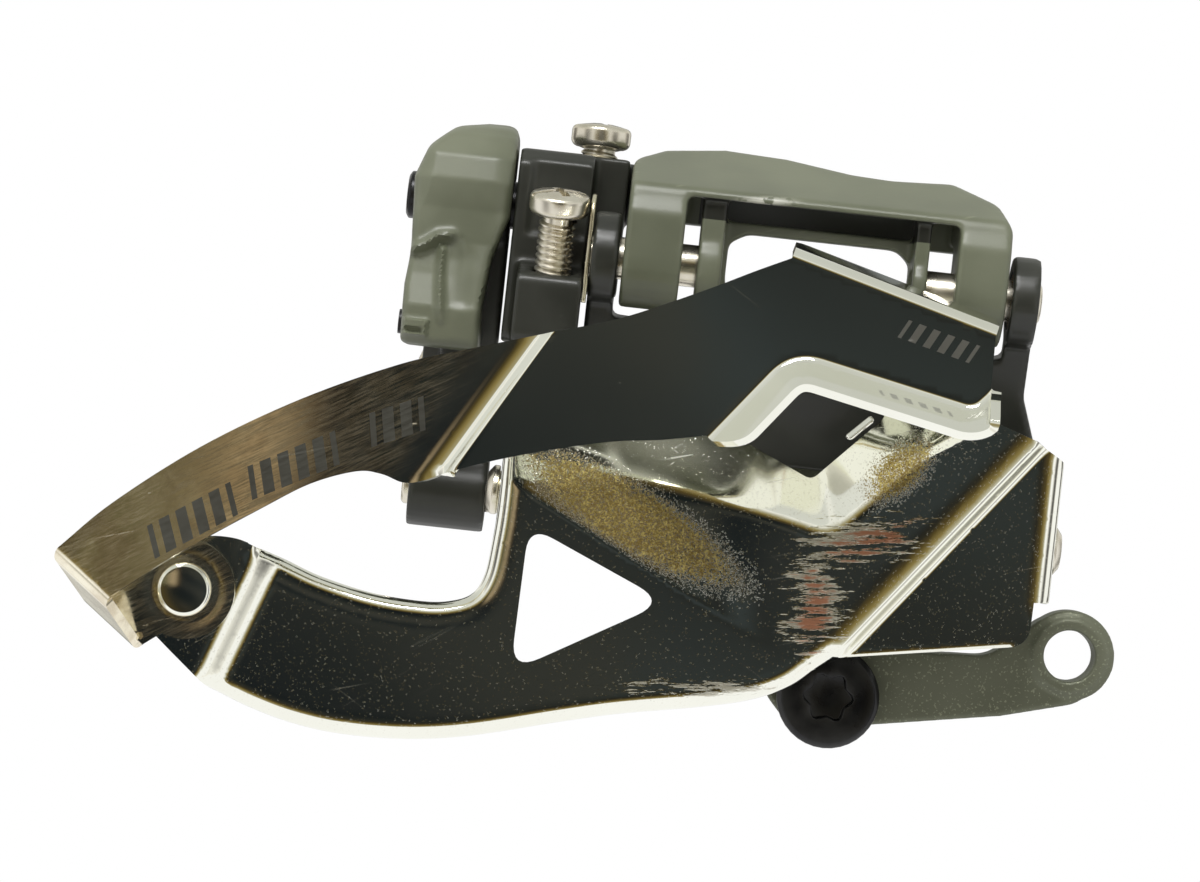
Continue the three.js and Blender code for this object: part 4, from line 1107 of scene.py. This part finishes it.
def limit_screw(node, seat, axis):
    """A pan-head screw with a cross and a slot in its head and a real thread on its shank."""
    name = node + "_skin"
    turn = turn_to(axis)
    head = ([(0.3, -0.1), (1.85, -0.1), (2.3, 0.05)] + arc_profile((2.35, 0.85), 0.8, -75, 0)
            + arc_profile((2.55, 1.75), 0.6, 0, 72) + [(2.0, 2.48), (1.2, 2.62), (0.5, 2.68), (0.02, 2.7)])
    cap = turned(name + "_head", head, seat, axis, 64)
    cutters = [cutter_bar(*cut, turn, seat) for cut in CROSS_CUTS]
    for cutter in cutters:
        carve = cap.modifiers.new("recess", "BOOLEAN")
        carve.object = cutter
        carve.solver = "EXACT"
    freeze(cap)
    for cutter in cutters:
        bpy.data.objects.remove(cutter, do_unlink=True)
    bevel(cap, 0.07, 28)
    shade_smooth(cap)
    freeze(cap)
    # the thread: a helix swept down the shank
    sides = 28
    steps = int(THREAD_LENGTH / THREAD_PITCH) * sides + 1
    crest = THREAD_MAJOR - 0.02
    shape = ((0.0, THREAD_MINOR), (0.28, crest), (0.42, crest), (0.7, THREAD_MINOR))
    verts = []
    for i in range(steps):
        t = 2 * math.pi * i / sides
        rise = -0.15 - THREAD_PITCH * i / sides
        for drop, radius in shape:
            at = turn @ Vector((radius * math.cos(t), radius * math.sin(t), rise - drop))
            verts.append(tuple(Vector(seat) + at))
    thread = make_object(name + "_thread", verts, quads(steps, len(shape)))
    root = THREAD_MINOR + 0.03
    shank = [(1.3, -THREAD_LENGTH - 0.5), (root, -THREAD_LENGTH + 0.2), (root, -0.05)]
    core = turned(name + "_core", shank, seat, axis, sides)
    settle(merge(name, [cap, thread, core]), node, "nickel", "nickel", node)


def freeze(piece):
    """Turns a piece's modifiers into its mesh."""
    graph = bpy.context.evaluated_depsgraph_get()
    mesh = bpy.data.meshes.new_from_object(piece.evaluated_get(graph))
    piece.modifiers.clear()
    old = piece.data
    piece.data = mesh
    bpy.data.meshes.remove(old)


def merge(name, pieces):
    verts, faces = [], []
    for piece in pieces:
        base = len(verts)
        verts += [tuple(v.co / MM) for v in piece.data.vertices]
        faces += [tuple(i + base for i in p.vertices) for p in piece.data.polygons]
        bpy.data.objects.remove(piece, do_unlink=True)
    merged = make_object(name, verts, faces)
    with opened(merged) as mesh:
        mark_sharp(mesh, 35)
    shade_smooth(merged)
    return merged


def limit_screws():
    for node, joint in (("low_limit_screw", "low_limit_turn"), ("high_limit_screw", "high_limit_turn")):
        limit_screw(node, np.array(JOINTS[joint]["pos_m"]) / MM, JOINTS[joint]["axis"])


def tail_rivet():
    """The rivet's head, turned with a short rounded wall round a nearly flat crown."""
    radius, height, rim, wall = 2.75, 1.15, 0.3, 0.32
    low, high = cad_box("tail_rivet")
    middle = (low + high) / 2
    shape = [(radius * 0.55, -(high[1] - low[1]) + 0.2), (radius * 0.55, -height), (radius * 0.94, -height),
             (radius, -height + 0.12), (radius, -height + wall)]
    shape += [(radius - rim * (1 - math.cos(a)), -height + wall + (height - 0.62) * math.sin(a))
              for a in np.linspace(0.2, math.pi / 2, 6)]
    shape += [((radius - rim) * (1 - t), -0.10 * (1 - t) ** 2)
              for t in (0.02, 0.05, 0.1, 0.25, 0.4, 0.6, 0.8, 0.98)]
    piece = turned("tail_rivet_skin", shape, (middle[0], low[1], middle[2]), NEAR, 64)
    settle(piece, "cage", "chrome", "chrome", "tail_rivet")


# ---- castings: the frame's solids, softened ------------------------------------------------------

VOXEL = 0.3


def softened(node, rounds):
    """A copy of a CAD node with its edges rounded, as a cast and coated piece has them."""
    name = node + "_skin"
    piece = in_scene(name, frame["nodes"][node].data.copy())
    remesh = piece.modifiers.new("remesh", "REMESH")
    remesh.mode = "VOXEL"
    remesh.voxel_size = VOXEL * MM
    remesh.use_smooth_shade = True
    ease = piece.modifiers.new("ease", "SMOOTH")
    ease.factor = 0.5
    ease.iterations = rounds
    freeze(piece)
    piece.data.name = name
    shade_smooth(piece)
    return piece


def castings():
    for node, body, slot_name, finish, rounds in (
            ("body_casting", "bracket", "cast_grey", "cast", 8),
            ("stop_block", "bracket", "black_moulding", "black", 5),
            ("mount_bracket", "bracket", "bracket_grey", "bracket", 5),
            ("outer_link", "outer_link", "black_moulding", "black", 5),
            ("inner_link", "inner_link", "black_moulding", "black", 5)):
        settle(softened(node, rounds), body, slot_name, finish, node)


# ---- CAD nodes that stay: edges eased by modifiers, better materials ------------------------------

def keep_nodes():
    finishes = {"nickel": "nickel", "black_steel": "black_steel", "bush": "bush", "spring_steel": "spring",
                "chrome": "chrome"}
    slots = {s["node"]: s["material_slot"] for s in frame["record"]["subparts"]}
    for node, slot_name in slots.items():
        if slot_name not in finishes or node.endswith(("cage_plate", "limit_screw", "tail_rivet")):
            continue
        piece = frame["nodes"][node]
        piece.data.materials.clear()
        piece.data.materials.append(material(finishes[slot_name]))
        weld = piece.modifiers.new("weld", "WELD")
        weld.merge_threshold = 0.01 * MM
        bevel(piece, 0.12, 25, harden=False)
        shade_smooth(piece)


# ---- light and stage (metres) --------------------------------------------------------------------

FLOOR_Z = -0.45
# tones of the sky by height, from straight down at 0 to straight up at 1
SKY = ((0.0, (0.30, 0.30, 0.27)), (0.36, (0.45, 0.45, 0.42)), (0.42, (1.0, 1.0, 1.0)),
       (0.58, (1.0, 1.0, 1.0)), (0.66, (0.80, 0.81, 0.77)), (0.85, (0.62, 0.63, 0.59)),
       (1.0, (0.60, 0.61, 0.57)))
# tones of the two cards by the angle, in degrees, between the view's line and a point of the card
FRONT_RINGS = ((0.0, (0.022, 0.025, 0.024)), (9.0, (0.018, 0.020, 0.018)), (13.0, (0.024, 0.022, 0.015)),
               (17.0, (0.085, 0.060, 0.018)), (21.0, (0.26, 0.20, 0.07)), (25.0, (0.42, 0.39, 0.26)),
               (31.0, (0.95, 0.95, 0.92)))
BACK_RINGS = ((0.0, (0.05, 0.05, 0.045)), (10.0, (0.10, 0.10, 0.09)), (20.0, (0.35, 0.35, 0.32)),
              (32.0, (0.9, 0.9, 0.87)))
WALL_NEAR = np.array((0.36, 0.275, 0.165))       # the warm wall that the cage's tail reflects
WALL_FAR = np.array((0.125, 0.115, 0.062))       # its darker far end


def glow(name):
    """A material that only gives off white light, and its shader."""
    mat = bpy.data.materials.new(name)
    mat.use_nodes = True
    tree = mat.node_tree
    tree.nodes.clear()
    shader = tree.nodes.new("ShaderNodeEmission")
    shader.inputs["Color"].default_value = (1.0, 1.0, 1.0, 1.0)
    shader.inputs["Strength"].default_value = 1.0
    tree.links.new(shader.outputs[0], tree.nodes.new("ShaderNodeOutputMaterial").inputs[0])
    return mat, shader


def studio_world():
    """The studio all round: white near the horizon and greyer above, so that folds read as separate tones."""
    world = bpy.data.worlds.new("studio")
    world.use_nodes = True
    tree = world.node_tree
    coord = tree.nodes.new("ShaderNodeTexCoord")
    split = tree.nodes.new("ShaderNodeSeparateXYZ")
    tree.links.new(coord.outputs["Generated"], split.inputs[0])
    ramp = tree.nodes.new("ShaderNodeValToRGB")
    while len(ramp.color_ramp.elements) < len(SKY):
        ramp.color_ramp.elements.new(0.5)
    for element, (at, color) in zip(ramp.color_ramp.elements, SKY):
        element.position = at
        element.color = (*color, 1.0)
    height = tree.nodes.new("ShaderNodeMapRange")
    height.inputs["From Min"].default_value = -1.0
    height.inputs["From Max"].default_value = 1.0
    tree.links.new(split.outputs["Z"], height.inputs["Value"])
    tree.links.new(height.outputs["Result"], ramp.inputs["Fac"])
    tree.links.new(ramp.outputs["Color"], tree.nodes["Background"].inputs["Color"])
    scene.world = world


def soft_box(name, at, size, power):
    data = bpy.data.lights.new(name, "AREA")
    data.shape = "RECTANGLE"
    data.size, data.size_y = size
    data.energy = power
    light = bpy.data.objects.new(name, data)
    light.location = at
    light.rotation_euler = (-Vector(at)).to_track_quat("-Z", "Y").to_euler()
    scene.collection.objects.link(light)


def make_stage():
    studio_world()
    soft_box("soft_box_high", (-0.25, -0.75, 0.95), (0.7, 0.35), 11.0)
    bpy.ops.mesh.primitive_circle_add(vertices=64, radius=6, fill_type="NGON", location=(0, 0, FLOOR_Z))
    floor = bpy.context.object
    floor.name = "floor"
    floor.data.materials.append(glow("floor_white")[0])
    floor.visible_diffuse = False
    card("dark_card_front", -1, FRONT_RINGS, 1.2)
    card("dark_card_back", 1, BACK_RINGS, 1.4)
    for turn in (-125, -55, 55, 125):
        side_card(f"side_card_{turn}", math.radians(turn))


def reflected(name, verts, faces, shades):
    """A glowing panel with a tone at each corner, that only reflections see."""
    mesh = bpy.data.meshes.new(name)
    mesh.from_pydata(verts, [], faces)
    colors = mesh.color_attributes.new("shade", "FLOAT_COLOR", "POINT")
    for i, shade in enumerate(shades):
        colors.data[i].color = shade
    panel = in_scene(name, mesh)
    mat, shader = glow(name)
    shade = mat.node_tree.nodes.new("ShaderNodeVertexColor")
    shade.layer_name = "shade"
    mat.node_tree.links.new(shade.outputs["Color"], shader.inputs["Color"])
    mesh.materials.append(mat)
    panel.visible_camera = False
    panel.visible_shadow = False
    panel.visible_diffuse = False


def side_card(name, turn):
    """A dark strip across the floor and up, that only the chrome's side reflections see."""
    profile = [(0.62, FLOOR_Z + 0.004), (0.9, FLOOR_Z + 0.004), (1.6, FLOOR_Z + 0.004), (2.4, FLOOR_Z + 0.05),
               (2.9, 0.1), (3.0, 0.6), (2.9, 1.3)]
    depth = (0.0, 0.75, 0.9, 0.9, 0.9, 0.7, 0.0)
    across = np.linspace(-1, 1, 13)
    verts, shades = [], []
    for (radius, z), dark in zip(profile, depth):
        for u in across:
            a = turn + u * math.radians(17)
            verts.append((radius * math.sin(a), -radius * math.cos(a), z))
            tone = 1.0 - dark * (1 - abs(u) ** 2.5)
            shades.append((tone, tone * 0.98, tone * 0.93, 1.0))
    reflected(name, verts, quads(len(profile), len(across)), shades)


def card(name, facing_y, tones, distance):
    """A dark card, part of a sphere about the object; the one in front also has a warm wall and blotches."""
    centre = Vector(((cad_bounds[0][0] + cad_bounds[1][0]) / 2, 0, (cad_bounds[0][2] + cad_bounds[1][2]) / 2))
    verts, shades = [], []
    around = 72
    rings = [r[0] for r in tones]
    angles = [a for start, end in zip(rings, rings[1:]) for a in np.linspace(start, end, 6, endpoint=False)]
    angles.append(rings[-1])
    for a in angles:
        tone = np.array([float(np.interp(a, rings, [r[1][c] for r in tones])) for c in range(3)])
        for k in range(around):
            t = 2 * math.pi * k / around
            s, c = math.sin(math.radians(a)), math.cos(math.radians(a))
            x, z = s * math.cos(t), s * math.sin(t)
            verts.append(centre + distance * Vector((x, facing_y * c, z)))
            lit = np.clip((-x - 0.150) / 0.035, 0, 1) * (facing_y < 0)
            lit *= np.clip((z + 0.045) / 0.02, 0, 1) * np.clip((0.095 - z) / 0.04, 0, 1)
            warm = np.clip((0.250 + x) / 0.05, 0, 1)
            wall = WALL_FAR + (WALL_NEAR - WALL_FAR) * warm
            blotch = math.sin(17 * x + 3 * math.sin(11 * z)) * math.sin(23 * z + 5 * x + 0.7)
            tint = np.array((1.3, 1.05, 0.8)) if x < 0.02 else np.array((0.85, 1.05, 1.25))
            tone_here = tone * (1 + 0.75 * max(blotch, -0.6) * tint * (a < 12))
            shade = np.maximum(tone_here, wall * lit)
            shades.append((*map(float, shade), 1.0))
    reflected(name, verts, quads(len(angles), around, closed=True), shades)


scene.view_settings.view_transform = "Standard"
make_camera()
make_stage()
outer_plate()
inner_plate()
castings()
lever_block()
limit_screws()
tail_rivet()
spring_leg()
keep_nodes()
